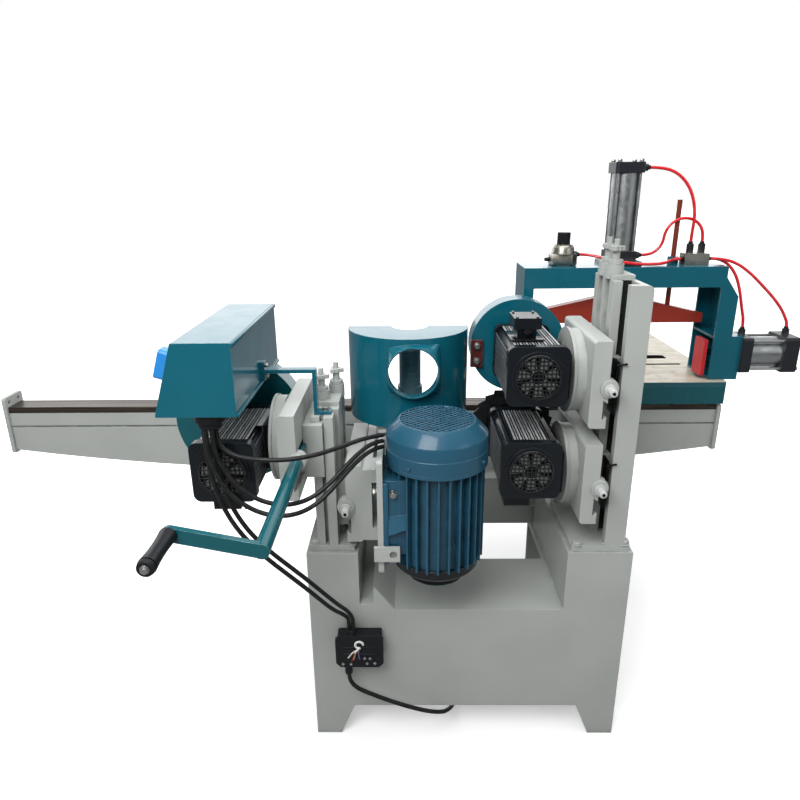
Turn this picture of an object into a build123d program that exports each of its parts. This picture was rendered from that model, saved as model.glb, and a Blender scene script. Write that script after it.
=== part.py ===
from build123d import *
import math
import os

# Tenoning machine: welded base, two columns, three saw heads, one moulding spindle and a rolling table.
# Millimetres. +Z is up, X runs along the rail, +Y points away from the operator.
# The origin is on the floor, at the centre of the four anchor holes.

os.makedirs("parts", exist_ok=True)

# Clearances
RUN = 0.3            # gap between sliding faces
FIT = 0.05           # radial gap of a running shaft
SEAM = 0.1           # joint line between two solids of one piece

# Base
BASE_W = 730
BASE_D = 420
BASE_H = 515
PLATE = 8
PILLAR_L = 116       # width of the left pillar
PILLAR_R = 145       # width of the right pillar
FLOOR_Z = 365        # chip floor between the pillars
FLOOR_D = 210        # depth of the chip floor before the open chute
SLOT_W = 32          # slot beside the left pillar
SLOT_Z = 380
GUSSET_H = 64        # height of the gusset beside the slot
GUSSET_W = 49
CROSS_D = 40         # rear cross member
CROSS_H = 115
FOOT_W = 60
FOOT_D = 70
FOOT_T = 12
FOOT_CUT_H = 86
FOOT_CUT_SLOPE = 35
SIDE_CUT_H = 60
ANCHOR_R = 7
ANCHOR_INSET_X = 30
ANCHOR_INSET_Y = 35
SHELF_D = 72         # rear shelf that carries the rail
SHELF_T = 12
SHELF_W = 520
SHELF_GUSSET_H = 90

# Columns and their ways
WAY_T = 18           # thickness of a way behind its face
WAY_STEP = 15        # how far a way stands out past its neck
WAY_BACK = -10
WAY_FRONT = -145
WAY_FRONT_LEFT = -195
COLUMN_R_FACE = 284.3
COLUMN_R_OUT = COLUMN_R_FACE + 60.7
COLUMN_R_TOP = BASE_H + 591
COLUMN_R_SPINE = 20
COLUMN_R_FRONT = -205
FLANGE_T = 20
FLANGE_X = COLUMN_R_FACE + 15.7
COLUMN_L_FACE = -339.7
COLUMN_C_FACE = -286.3
COLUMN_L_TOP = BASE_H + 320
NOSE_X = -293        # right side of the left column's front nose
NOSE_FRONT = -200
NOSE_BACK = -166
COLUMN_FOOT_T = 15
COLUMN_FOOT_BACK = 20
CAP_T = 10
SLEEVE_R = 18
SLEEVE_H = 20

# Lift screws
LIFT_R = 8
LIFT_INSET = 13      # screw axis behind the way face
LIFT_SLOT_W = 36
LIFT_SLOT_D = 26
LIFT_NUT_W = 32
LIFT_NUT_H = 44
LIFT_FRONT_Y = -100
LIFT_REAR_Y = -50
LIFT_HEAD_R = 15
LIFT_HEAD_H = 9
LIFT_END_R = 6
LIFT_END_H = 14

# Saddles and slides
SADDLE_T = 16
SADDLE_H = 118
SADDLE_INSET = 14    # saddle's bottom above the slide's bottom
JAW = 18
HOOK = 12
HOOK_T = 7
SLIDE_T = 36
SLIDE_H = 183
SLIDE_L = 255
FEED_R = 8
FEED_Z = 86          # feed screw above the slide's bottom
FEED_BACK = 190      # length of the feed screw behind the slide's front
FEED_STUB = 34
CHANNEL_W = 36
CHANNEL_D = 15
FEED_NUT_W = 30
FEED_NUT_D = 12
FEED_NUT_L = 50
FEED_NUT_Y = -75
BEARING_T = 18
BULGE_R = 20
BOSS_R = 18
BOSS_H = 6
DOVE_Z = 40          # dovetail above the slide's bottom
DOVE_NECK = 14
DOVE_WIDE = 20
DOVE_D = 9
DOVE_GAP = 0.4
DISC_R = 90
DISC_T = 26
DISC_Y = -105        # centre of the swivel disc
SCALE_T = 6          # rim that carries the tilt scale
SCALE_R = 93

# Square saw motors
MOTOR_S = 125
MOTOR_L = 225
MOTOR_CORE = 103
MOTOR_CORNER = 16
FIN_T = 4
FIN_COUNT = 8
FIN_PITCH = 12.5
COVER_T = 20
COVER_WALL = 5
BELL_T = 20
FAN_R = 44
FAN_T = 8
RING_R = 53
RING_W = 6
RING_H = 4
GRILLE_R = 44
GRILLE_PITCH = 15
GRILLE_HOLE = 11
MOUNT_H = 96
MOUNT_L = 120
SHAFT_R = 12
SHAFT_TAIL = 26      # shaft past the blade
CLAMP_R = 30
CLAMP_T = 8
NUT_R = 17
NUT_T = 14
BLADE_T = 3
BLADE_TEETH = 24
TOOTH_H = 7
NOSE_R = 38
TERMINAL_W = 56
TERMINAL_L = 70
TERMINAL_H = 46

# Saw heads: slide bottom, slide front, motor axis, motor face, blade plane and blade radius
UPPER_Z = BASE_H + 304
UPPER_FRONT = -230
UPPER_AXIS_X = 127
UPPER_AXIS_Z = UPPER_Z + 108
UPPER_FACE = -220
UPPER_BLADE_Y = 70
UPPER_BLADE_R = 104
LOWER_Z = BASE_H + 84
LOWER_FRONT = -230
LOWER_AXIS_X = 118
LOWER_AXIS_Z = LOWER_Z + 135
LOWER_FACE = -250
LOWER_BLADE_Y = 14
LOWER_BLADE_R = 100
LEFT_Z = COLUMN_L_TOP - 144
LEFT_FRONT = -295
LEFT_AXIS_X = -494
LEFT_AXIS_Z = LEFT_Z + 80
LEFT_FACE = -330
LEFT_BLADE_Y = -5
LEFT_BLADE_R = 98
SHEET = 2.5

# Hood and guard
HOOD_R = 112
HOOD_FRONT = 40
HOOD_D = 60
HOOD_BRACKET_W = 28
HOOD_BRACKET_H = 66
HOOD_BRACKET_T = 10
GUARD_R = 150
GUARD_X = -536
GUARD_Z = LEFT_Z + 79
GUARD_TOP = GUARD_Z + 123
GUARD_FRONT = -35
GUARD_D = 60

# Crank
CRANK_TUBE_R = 13
CRANK_Y = -619
CRANK_ARM_X = -137
CRANK_ARM_Z = 29
CRANK_ARM_W = 24
CRANK_ARM_T = 10
GRIP_PIN_R = 6
GRIP_R = 14
GRIP_L = 80

# Spindle head
CENTRE_Z = BASE_H + 33
CENTRE_FRONT = -215
SPINDLE_X = -130
SPINDLE_Y = 45
SPINDLE_R = 20
SPINDLE_BOTTOM = CENTRE_Z - 80
SPINDLE_TOP = CENTRE_Z + 397
COLLAR_R = 30
COLLAR_H = 22
COLLAR_TOP = CENTRE_Z + 282
RING_OUT = 26
RINGS = 5
RING_L = 18
RING_GAP = 0.5
CAP_NUT_R = 24
HOUSING_R = 48
HOUSING_BOTTOM = CENTRE_Z + 12
HOUSING_TOP = CENTRE_Z + 220
HOUSING_FLANGE_R = 62
HOUSING_FLANGE_T = 12
CARRIER_T = 20
CARRIER_BACK = 95
CARRIER_Z0 = CENTRE_Z + 4
CARRIER_H = 170
CARRIER_RIB = 24
HOOD_PLAN_R = 142
HOOD_PLAN_X = -134
HOOD_TOP = CENTRE_Z + 429
HOOD_NOTCH_R = 43
HOOD_HOLE_R = 50
PORT_X = -123
PORT_Z = CENTRE_Z + 357
PORT_R = 55
PORT_WALL = 3
PORT_Y = -116
PORT_SQUARE = 128

# Spindle motor
BLUE_X = -75
BLUE_Y = -220
BLUE_BODY_R = 86
BLUE_FIN_R = 98
BLUE_FINS = 28
BLUE_FIN_T = 4
BLUE_Z0 = CENTRE_Z - 16
BLUE_Z1 = CENTRE_Z + 209
BLUE_SHIELD_R = 92
BLUE_SHIELD_T = 27
BLUE_RIM_T = 8         # rim that seats the fan cover
FAN_COVER_R = 107
FAN_COVER_STEP = BLUE_Z1 + 35
FAN_COVER_TOP = BLUE_Z1 + 84
FAN_COVER_TOP_R = 84
FAN_COVER_WALL = 3
VENT_R = 4.2
VENT_RINGS = 5
VENT_RING_STEP = 14
FOOT_FACE_X = -187
FOOT_PAD_W = 130
FOOT_PAD_Z0 = CENTRE_Z + 12
FOOT_PAD_H = 170
BLUE_SHAFT_R = 14
BLUE_FAN_R = 80
PULLEY_Z0 = CENTRE_Z - 70
PULLEY_H = 24
PULLEY_LIP = 3
PULLEY_LIP_H = 3
MAIN_PULLEY_R = 58
SPINDLE_PULLEY_R = 29
BELT_T = 5
BELT_GAP = 0.2
MOTOR_PLATE_T = 12
MOTOR_PLATE_FRONT = -290
MOTOR_PLATE_BACK = -150
MOTOR_PLATE_Z0 = CENTRE_Z - 33
MOTOR_PLATE_Z1 = CENTRE_Z + 227
MOTOR_RAIL_H = 30
TENSION_LUG = 34

# Control box
BOX_FRONT = -385
BOX_BACK = -5
BOX_RIGHT = -440
BOX_TOP_LEFT = -545
BOX_BOTTOM_LEFT = -588
BAR_TOP = COLUMN_L_TOP + 100
BOX_Z0 = BAR_TOP - 29
BOX_Z1 = BOX_Z0 + 136
BOX_SHEET = 4        # wall of the box
GLAND_X = -500
GLAND_Y = -352
GLAND_R = 27
GLAND_H = 30
SWITCH_Y = -288
SWITCH_Z = BOX_Z0 + 65
SWITCH_W = 36
SWITCH_H = 58
SWITCH_T = 24
SWITCH_BASE_R = 16
SWITCH_BASE_T = 18
BAR_W = 20
BAR_T = 8
BAR_Y = -171
BAR_X = -326
BAR_FOOT_X = -298
BAR_BACK_X = -470

# Junction box on the front of the base
JUNCTION_X = -BASE_W / 2 + 115
JUNCTION_Z = BASE_H - 241
JUNCTION_W = 120
JUNCTION_H = 106
JUNCTION_D = 62
JUNCTION_LID = 12
JUNCTION_GLAND_R = 10
JUNCTION_GLAND_L = 14
LEAD_IN_X = JUNCTION_X - 18
SUPPLY_OUT_X = JUNCTION_X - 27
LEAD_Y_IN_BOX = 30   # gland axis in front of the base

# Rail
RAIL_FRONT = 210
RAIL_D = 65
RAIL_X0 = -1248
RAIL_X1 = 710
RAIL_TOP = BASE_H + 186
RAIL_END_Z = RAIL_TOP - 109
RAIL_MID_Z = RAIL_TOP - 177
RAIL_GROOVE_Z = RAIL_TOP - 42
RAIL_GROOVE = 5
RAIL_TUNNEL_W = 45
RAIL_TUNNEL_Z0 = RAIL_TOP - 95
RAIL_TUNNEL_Z1 = RAIL_TOP - 53
RAIL_PAD_X = 190
RAIL_PAD_W = 100
GUIDE_H = 17
END_PLATE_T = 10
END_PLATE_Z0 = RAIL_TOP - 117
END_PLATE_Z1 = RAIL_TOP + 45
END_PLATE_LOW_Z1 = RAIL_TOP + 15   # right plate, below the table's apron
END_PLATE_HOLE_R = 6
END_PLATE_HOLE_PITCH = 44

# Table
TABLE_X0 = 140
TABLE_X1 = 722
TABLE_Y0 = 196
TABLE_Y1 = 775
TABLE_Z = RAIL_TOP + 83
TABLE_T = 12
TABLE_CORNER = 6
TSLOT_W = 14
TSLOT_Y = 377
TSLOT_X0 = 196
TSLOT_X1 = 668
WINDOW_X = 606
WINDOW_Y = 460
WINDOW_W = 96
WINDOW_D = 40
STOP_HOLE_R = 6
STOP_HOLES = 6
STOP_PITCH = 80
STOP_HOLE_X = 420
STOP_HOLE_Y = 560
APRON_H = 50
APRON_T = 6
SHOE_L = 90
SHOE_LIP = 6         # lip in front of the guide
REAR_SHOE_Z = RAIL_TOP - 73
REAR_SHOE_H = 30
HANGER_T = 12
HANGER_Z0 = RAIL_TOP - 97
HANGER_Y = 318

# Portal on the table
PORTAL_Y0 = 220
PORTAL_Y1 = 355
PORTAL_X0 = 168
PORTAL_TOP = TABLE_Z + 303
PORTAL_UNDER = TABLE_Z + 250
PORTAL_LEG_X = 194   # inner side of the left leg
PORTAL_WALL = 6
PORTAL_OUT = 756
PORTAL_BEAM_X1 = PORTAL_OUT - 65
PORTAL_CHAMFER_Z = TABLE_Z + 275
PORTAL_SHOULDER_X = PORTAL_OUT - 29
PORTAL_SHOULDER_Z = TABLE_Z + 225
PORTAL_LEG_R_IN = PORTAL_OUT - 76
PORTAL_KNEE_Z = TABLE_Z + 119

# Clamp
CLAMP_X = 431
CLAMP_Y = 303
CLAMP_CAP = 75
CLAMP_CAP_T = 26
CLAMP_TUBE_R = 34
CLAMP_FLANGE = 100
CLAMP_FLANGE_T = 9
CLAMP_Z1 = PORTAL_TOP + 256
TIE_R = 4
TIE_INSET = 10
CLAMP_ROD_R = 10
CLAMP_ROD_TOP = CLAMP_Z1 - 43
BEAM_X0 = 178
BEAM_X1 = 672
BEAM_Z = TABLE_Z + 144
BEAM_END_H = 25
BEAM_MID_H = 75
BEAM_D = 30
BEAM_FLAT = 60
GUIDE_X = 578
GUIDE_R = 6.25
GUIDE_TOP = PORTAL_TOP + 163
GUIDE_BUSH_R = 14
GUIDE_BUSH_H = 18

# Side clamp
SIDE_Y = 256
SIDE_Z = TABLE_Z + 68
SIDE_CAP = 95
SIDE_CAP_T = 26
SIDE_X1 = PORTAL_OUT + 149
SIDE_REAR_CAP_T = 37
SIDE_TUBE_R = 42
SIDE_ROD_R = 10
SIDE_ROD_END = SIDE_X1 - 20
PAD_X0 = PORTAL_OUT - 96
PAD_T = 10
PAD_W = 56
PAD_H = 100

# Air unit
REGULATOR_X = 278
REGULATOR_Y = 285
REGULATOR_W = 42
REGULATOR_H = 54
KNOB_R = 17
KNOB_H = 30
KNOB_STEM_R = 5
VALVE_X = 627
VALVE_Y = 285
VALVE_W = 64
VALVE_D = 40
VALVE_H = 28
FITTING_R = 9
FITTING_H = 24
FITTING_PITCH = 30
PORT_FITTING_R = 9
PORT_FITTING_L = 16

# Cords
LEAD_D = 9
SUPPLY_D = 10
HOSE_D = 8

CORNER_SHARE = 0.45  # share of the shorter run that each arc takes
COIL_X = 51
COIL_Y = 0
COIL_R = 71          # outer turn
COIL_STEP = 10.6     # from turn to turn and from layer to layer
COIL_HALF_TURNS = 6  # half turns in the lower layer
COIL_Z = 5.2


def at_x(x):
    return Plane.YZ.offset(x)


def at_y(y):
    return Plane.XZ.offset(-y)


def at_z(z):
    return Plane.XY.offset(z)


def save(piece, node):
    piece.label = node
    export_step(piece, f"parts/{node}.step")


def bar_x(x0, x1, y, z, radius, mode=Mode.ADD):
    """Round bar along X inside the open part."""
    with BuildSketch(at_x(x0)) as profile:
        with Locations((y, z)):
            Circle(radius)
    extrude(profile.sketch, amount=x1 - x0, mode=mode)


def bar_y(y0, y1, x, z, radius, mode=Mode.ADD):
    """Round bar along Y inside the open part."""
    with BuildSketch(at_y(y1)) as profile:
        with Locations((x, z)):
            Circle(radius)
    extrude(profile.sketch, amount=y1 - y0, mode=mode)


def bar_z(z0, z1, x, y, radius, mode=Mode.ADD):
    """Round bar along Z inside the open part."""
    with BuildSketch(at_z(z0)) as profile:
        with Locations((x, y)):
            Circle(radius)
    extrude(profile.sketch, amount=z1 - z0, mode=mode)


def block(x0, x1, y0, y1, z0, z1, mode=Mode.ADD):
    """Rectangular block between two corners inside the open part."""
    with Locations(((x0 + x1) / 2, (y0 + y1) / 2, (z0 + z1) / 2)):
        Box(abs(x1 - x0), abs(y1 - y0), abs(z1 - z0), mode=mode)


def outline_y(points, y0, y1, mode=Mode.ADD):
    """Flat outline in X and Z, extruded from y0 to y1."""
    with BuildSketch(at_y(y1)) as profile:
        with BuildLine():
            Polyline(*points, close=True)
        make_face()
    extrude(profile.sketch, amount=y1 - y0, mode=mode)


def outline_z(points, z0, z1, mode=Mode.ADD):
    """Flat outline in X and Y, extruded from z0 to z1."""
    with BuildSketch(at_z(z0)) as profile:
        with BuildLine():
            Polyline(*points, close=True)
        make_face()
    extrude(profile.sketch, amount=z1 - z0, mode=mode)


# Base frame: a folded and welded shell, open underneath, on four anchored feet
half_w = BASE_W / 2
half_d = BASE_D / 2
pillar_l_in = -half_w + PILLAR_L
pillar_r_in = half_w - PILLAR_R
gusset_x = pillar_l_in + SLOT_W
gusset_end = gusset_x + GUSSET_W
cross_front = half_d - CROSS_D


def base_outline(bottom):
    return [
        (-half_w, bottom),
        (half_w, bottom),
        (half_w, BASE_H),
        (pillar_r_in, BASE_H),
        (pillar_r_in, FLOOR_Z),
        (gusset_end, FLOOR_Z),
        (gusset_x, FLOOR_Z + GUSSET_H),
        (gusset_x, SLOT_Z),
        (pillar_l_in, SLOT_Z),
        (pillar_l_in, BASE_H),
        (-half_w, BASE_H),
    ]


with BuildPart() as base:
    outline_y(base_outline(0), -half_d, half_d)
    block(pillar_l_in, pillar_r_in, cross_front, half_d, SLOT_Z - PLATE, BASE_H)
    # The hollow inside the plates runs out of the open underside
    with BuildSketch(at_y(half_d - PLATE)):
        with BuildLine():
            Polyline(*base_outline(-4 * PLATE), close=True)
        make_face()
        offset(amount=-PLATE, kind=Kind.INTERSECTION, mode=Mode.REPLACE)
    extrude(amount=BASE_D - 2 * PLATE, mode=Mode.SUBTRACT)
    # Cross member is a folded channel, open below
    block(pillar_l_in + PLATE, pillar_r_in - PLATE, cross_front + PLATE, half_d - PLATE, SLOT_Z - 4 * PLATE,
          BASE_H - PLATE, mode=Mode.SUBTRACT)
    # Chips fall through the open chute behind the floor and leave at the back
    block(gusset_end + PLATE, pillar_r_in - PLATE, -half_d + FLOOR_D, cross_front + PLATE,
          FLOOR_Z - 3 * PLATE, FLOOR_Z + PLATE, mode=Mode.SUBTRACT)
    block(gusset_end, pillar_r_in - PLATE, half_d - 2 * PLATE, half_d + PLATE, FOOT_CUT_H, BASE_H - CROSS_H,
          mode=Mode.SUBTRACT)
    # Feet are left by the cut-outs in the four walls
    foot_in = half_w - FOOT_W
    outline_y([(-foot_in, 0), (foot_in, 0), (foot_in - FOOT_CUT_SLOPE, FOOT_CUT_H),
               (FOOT_CUT_SLOPE - foot_in, FOOT_CUT_H)], -half_d - PLATE, half_d + PLATE, mode=Mode.SUBTRACT)
    with BuildSketch(at_x(-half_w - PLATE)):
        with BuildLine():
            side_in = half_d - FOOT_D - PLATE
            Polyline((-side_in, 0), (side_in, 0), (side_in - FOOT_CUT_SLOPE, SIDE_CUT_H),
                     (FOOT_CUT_SLOPE - side_in, SIDE_CUT_H), close=True)
        make_face()
    extrude(amount=BASE_W + 2 * PLATE, mode=Mode.SUBTRACT)
    with Locations((0, 0, FOOT_T / 2)):
        with GridLocations(BASE_W - FOOT_W, BASE_D - FOOT_D, 2, 2):
            Box(FOOT_W, FOOT_D, FOOT_T)
    with Locations((0, 0, FOOT_T / 2)):
        with GridLocations(BASE_W - 2 * ANCHOR_INSET_X, BASE_D - 2 * ANCHOR_INSET_Y, 2, 2):
            Cylinder(ANCHOR_R, 2 * FOOT_T, mode=Mode.SUBTRACT)
    # Rear shelf for the rail, on two gussets
    block(-SHELF_W / 2, SHELF_W / 2, half_d - PLATE, half_d + SHELF_D, BASE_H - SHELF_T, BASE_H)
    for gusset_side in (-1, 1):
        gusset_at = gusset_side * RAIL_PAD_X
        with BuildSketch(at_x(gusset_at - PLATE / 2)):
            with BuildLine():
                Polyline((half_d - PLATE / 2, BASE_H - PLATE), (half_d + SHELF_D, BASE_H - PLATE),
                         (half_d + SHELF_D, BASE_H - 3 * PLATE),
                         (half_d, BASE_H - SHELF_GUSSET_H), (half_d - PLATE / 2, BASE_H - SHELF_GUSSET_H),
                         close=True)
            make_face()
        extrude(amount=PLATE)
save(base.part, "base_frame")

# Right column: a slotted way on its left side, a spine and a front flange
way_neck_r = COLUMN_R_FACE + WAY_T
spine_x = COLUMN_R_OUT - COLUMN_R_SPINE
right_screw_x = COLUMN_R_FACE + LIFT_INSET
with BuildPart() as right_column:
    outline_z([
        (COLUMN_R_FACE, WAY_FRONT),
        (way_neck_r, WAY_FRONT),
        (way_neck_r, WAY_FRONT + WAY_STEP),
        (spine_x, WAY_FRONT + WAY_STEP),
        (spine_x, COLUMN_R_FRONT + FLANGE_T),
        (FLANGE_X, COLUMN_R_FRONT + FLANGE_T),
        (FLANGE_X, COLUMN_R_FRONT),
        (COLUMN_R_OUT, COLUMN_R_FRONT),
        (COLUMN_R_OUT, WAY_BACK),
        (spine_x, WAY_BACK),
        (spine_x, WAY_BACK - WAY_STEP),
        (way_neck_r, WAY_BACK - WAY_STEP),
        (way_neck_r, WAY_BACK),
        (COLUMN_R_FACE, WAY_BACK),
    ], BASE_H, COLUMN_R_TOP)
    # Rounded top of the front flange
    flange_top = right_column.edges().filter_by(Axis.Y).group_by(Axis.Z)[-1].sort_by(Axis.X)[-1:]
    fillet(flange_top, radius=FLANGE_T / 2)
    for screw_y in (LIFT_FRONT_Y, LIFT_REAR_Y):
        block(COLUMN_R_FACE - RUN, COLUMN_R_FACE + LIFT_SLOT_D, screw_y - LIFT_SLOT_W / 2,
              screw_y + LIFT_SLOT_W / 2, BASE_H + COLUMN_FOOT_T, COLUMN_R_TOP + RUN, mode=Mode.SUBTRACT)
    # Foot flange on the pillar
    block(pillar_r_in + PLATE, half_w - PLATE, COLUMN_R_FRONT, COLUMN_FOOT_BACK, BASE_H,
          BASE_H + COLUMN_FOOT_T)
    # Cap with two bearing sleeves for the lift screws
    block(COLUMN_R_FACE, spine_x + PLATE, LIFT_FRONT_Y - SLEEVE_R - PLATE, LIFT_REAR_Y + SLEEVE_R + PLATE,
          COLUMN_R_TOP, COLUMN_R_TOP + CAP_T)
    for screw_y in (LIFT_FRONT_Y, LIFT_REAR_Y):
        bar_z(COLUMN_R_TOP, COLUMN_R_TOP + CAP_T + SLEEVE_H, right_screw_x, screw_y, SLEEVE_R)
        bar_z(BASE_H + COLUMN_FOOT_T, COLUMN_R_TOP + CAP_T + 2 * SLEEVE_H, right_screw_x, screw_y,
              LIFT_R + FIT, mode=Mode.SUBTRACT)
save(right_column.part, "right_column")

# Left column: one way on each side, and a nose at the front that carries the box bracket
left_neck = COLUMN_L_FACE + WAY_T
centre_neck = COLUMN_C_FACE - WAY_T
neck_mid = (left_neck + centre_neck) / 2
left_screw_x = COLUMN_L_FACE + LIFT_INSET
centre_screw_x = COLUMN_C_FACE - LIFT_INSET
with BuildPart() as left_column:
    outline_z([
        (COLUMN_L_FACE, WAY_FRONT_LEFT),
        (left_neck, WAY_FRONT_LEFT),
        (left_neck, WAY_FRONT_LEFT + WAY_STEP),
        (neck_mid, WAY_FRONT_LEFT + WAY_STEP),
        (neck_mid, NOSE_FRONT),
        (NOSE_X, NOSE_FRONT),
        (NOSE_X, NOSE_BACK),
        (neck_mid + RUN, NOSE_BACK),
        (neck_mid + RUN, WAY_FRONT + WAY_STEP),
        (centre_neck, WAY_FRONT + WAY_STEP),
        (centre_neck, WAY_FRONT),
        (COLUMN_C_FACE, WAY_FRONT),
        (COLUMN_C_FACE, WAY_BACK),
        (centre_neck, WAY_BACK),
        (centre_neck, WAY_BACK - WAY_STEP),
        (left_neck, WAY_BACK - WAY_STEP),
        (left_neck, WAY_BACK),
        (COLUMN_L_FACE, WAY_BACK),
    ], BASE_H, COLUMN_L_TOP)
    block(COLUMN_L_FACE - RUN, COLUMN_L_FACE + LIFT_SLOT_D, LIFT_FRONT_Y - LIFT_SLOT_W / 2,
          LIFT_FRONT_Y + LIFT_SLOT_W / 2, BASE_H + COLUMN_FOOT_T, COLUMN_L_TOP + RUN, mode=Mode.SUBTRACT)
    block(COLUMN_C_FACE + RUN, COLUMN_C_FACE - LIFT_SLOT_D, LIFT_REAR_Y - LIFT_SLOT_W / 2,
          LIFT_REAR_Y + LIFT_SLOT_W / 2, BASE_H + COLUMN_FOOT_T, COLUMN_L_TOP + RUN, mode=Mode.SUBTRACT)
    block(-half_w + PLATE, pillar_l_in - PLATE, NOSE_FRONT, COLUMN_FOOT_BACK, BASE_H, BASE_H + COLUMN_FOOT_T)
    block(COLUMN_L_FACE, COLUMN_C_FACE, LIFT_FRONT_Y - SLEEVE_R - PLATE, LIFT_REAR_Y + SLEEVE_R + PLATE,
          COLUMN_L_TOP, COLUMN_L_TOP + CAP_T)
    for screw_x, screw_y in ((left_screw_x, LIFT_FRONT_Y), (centre_screw_x, LIFT_REAR_Y)):
        bar_z(COLUMN_L_TOP, COLUMN_L_TOP + CAP_T + SLEEVE_H, screw_x, screw_y, SLEEVE_R)
        bar_z(BASE_H + COLUMN_FOOT_T, COLUMN_L_TOP + CAP_T + 2 * SLEEVE_H, screw_x, screw_y, LIFT_R + FIT,
              mode=Mode.SUBTRACT)
save(left_column.part, "left_column")


def build_lift_screw(node, x, y, column_top):
    """Lift screw: shaft in its sleeve, collar, turned neck and a lobed head."""
    seat = column_top + CAP_T + SLEEVE_H
    with BuildPart() as screw:
        bar_z(BASE_H + COLUMN_FOOT_T + PLATE, seat + 3 * LIFT_HEAD_H, x, y, LIFT_R)
        bar_z(seat + RUN, seat + LIFT_HEAD_H, x, y, LIFT_HEAD_R)
        with BuildSketch(at_z(seat + 3 * LIFT_HEAD_H)):
            with Locations((x, y)):
                Circle(LIFT_HEAD_R - LIFT_END_R / 2)
                with PolarLocations(LIFT_HEAD_R - LIFT_END_R / 2, 3):
                    Circle(LIFT_END_R)
        extrude(amount=LIFT_HEAD_H)
        bar_z(seat + 4 * LIFT_HEAD_H, seat + 4 * LIFT_HEAD_H + LIFT_END_H, x, y, LIFT_END_R)
    save(screw.part, node)


build_lift_screw("upper_lift_screw", right_screw_x, LIFT_FRONT_Y, COLUMN_R_TOP)
build_lift_screw("lower_lift_screw", right_screw_x, LIFT_REAR_Y, COLUMN_R_TOP)
build_lift_screw("left_lift_screw", left_screw_x, LIFT_FRONT_Y, COLUMN_L_TOP)
build_lift_screw("centre_lift_screw", centre_screw_x, LIFT_REAR_Y, COLUMN_L_TOP)


def build_saddle(node, face_x, out, slide_z, way_front, screw_y):
    """Saddle on a column way. out is +1 where the head lies on the +X side of the way."""
    z0 = slide_z + SADDLE_INSET
    z1 = z0 + SADDLE_H
    feed_x = face_x + out * (SADDLE_T + RUN)
    feed_z = slide_z + FEED_Z
    front = way_front - RUN
    back = WAY_BACK + RUN
    jaw_in = -WAY_T - RUN
    hook_in = jaw_in - HOOK_T
    profile = [
        (SADDLE_T, front - JAW),
        (hook_in, front - JAW),
        (hook_in, way_front + HOOK),
        (jaw_in, way_front + HOOK),
        (jaw_in, front),
        (RUN, front),
        (RUN, back),
        (jaw_in, back),
        (jaw_in, WAY_BACK - HOOK),
        (hook_in, WAY_BACK - HOOK),
        (hook_in, back + JAW),
        (SADDLE_T, back + JAW),
    ]
    with BuildPart() as saddle:
        outline_z([(face_x + out * depth, y) for depth, y in profile], z0, z1)
        # Dovetail rib that guides the slide
        rib_z = slide_z + DOVE_Z
        rib = [(SADDLE_T - RUN, -DOVE_NECK), (SADDLE_T, -DOVE_NECK), (SADDLE_T + DOVE_D, -DOVE_WIDE),
               (SADDLE_T + DOVE_D, DOVE_WIDE), (SADDLE_T, DOVE_NECK), (SADDLE_T - RUN, DOVE_NECK)]
        outline_y([(face_x + out * depth, rib_z + rise) for depth, rise in rib], front - JAW, back + JAW)
        # Feed nut in the slide's channel, lift nut in the column's slot
        block(face_x + out * (SADDLE_T - RUN), face_x + out * (SADDLE_T + FEED_NUT_D),
              FEED_NUT_Y - FEED_NUT_L / 2, FEED_NUT_Y + FEED_NUT_L / 2,
              feed_z - FEED_NUT_W / 2, feed_z + FEED_NUT_W / 2)
        block(face_x + out * 2 * RUN, face_x - out * (LIFT_INSET + LIFT_R + RUN + RUN),
              screw_y - LIFT_NUT_W / 2, screw_y + LIFT_NUT_W / 2,
              (z0 + z1 - LIFT_NUT_H) / 2, (z0 + z1 + LIFT_NUT_H) / 2)
        bar_y(front - 2 * JAW, back + 2 * JAW, feed_x, feed_z, FEED_R + FIT, mode=Mode.SUBTRACT)
        bar_z(z0 - JAW, z1 + JAW, face_x - out * LIFT_INSET, screw_y, LIFT_R + FIT, mode=Mode.SUBTRACT)
    save(saddle.part, node)


build_saddle("upper_saddle", COLUMN_R_FACE, -1, UPPER_Z, WAY_FRONT, LIFT_FRONT_Y)
build_saddle("lower_saddle", COLUMN_R_FACE, -1, LOWER_Z, WAY_FRONT, LIFT_REAR_Y)
build_saddle("left_saddle", COLUMN_L_FACE, -1, LEFT_Z, WAY_FRONT_LEFT, LIFT_FRONT_Y)
build_saddle("centre_saddle", COLUMN_C_FACE, 1, CENTRE_Z, WAY_FRONT, LIFT_REAR_Y)


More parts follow.
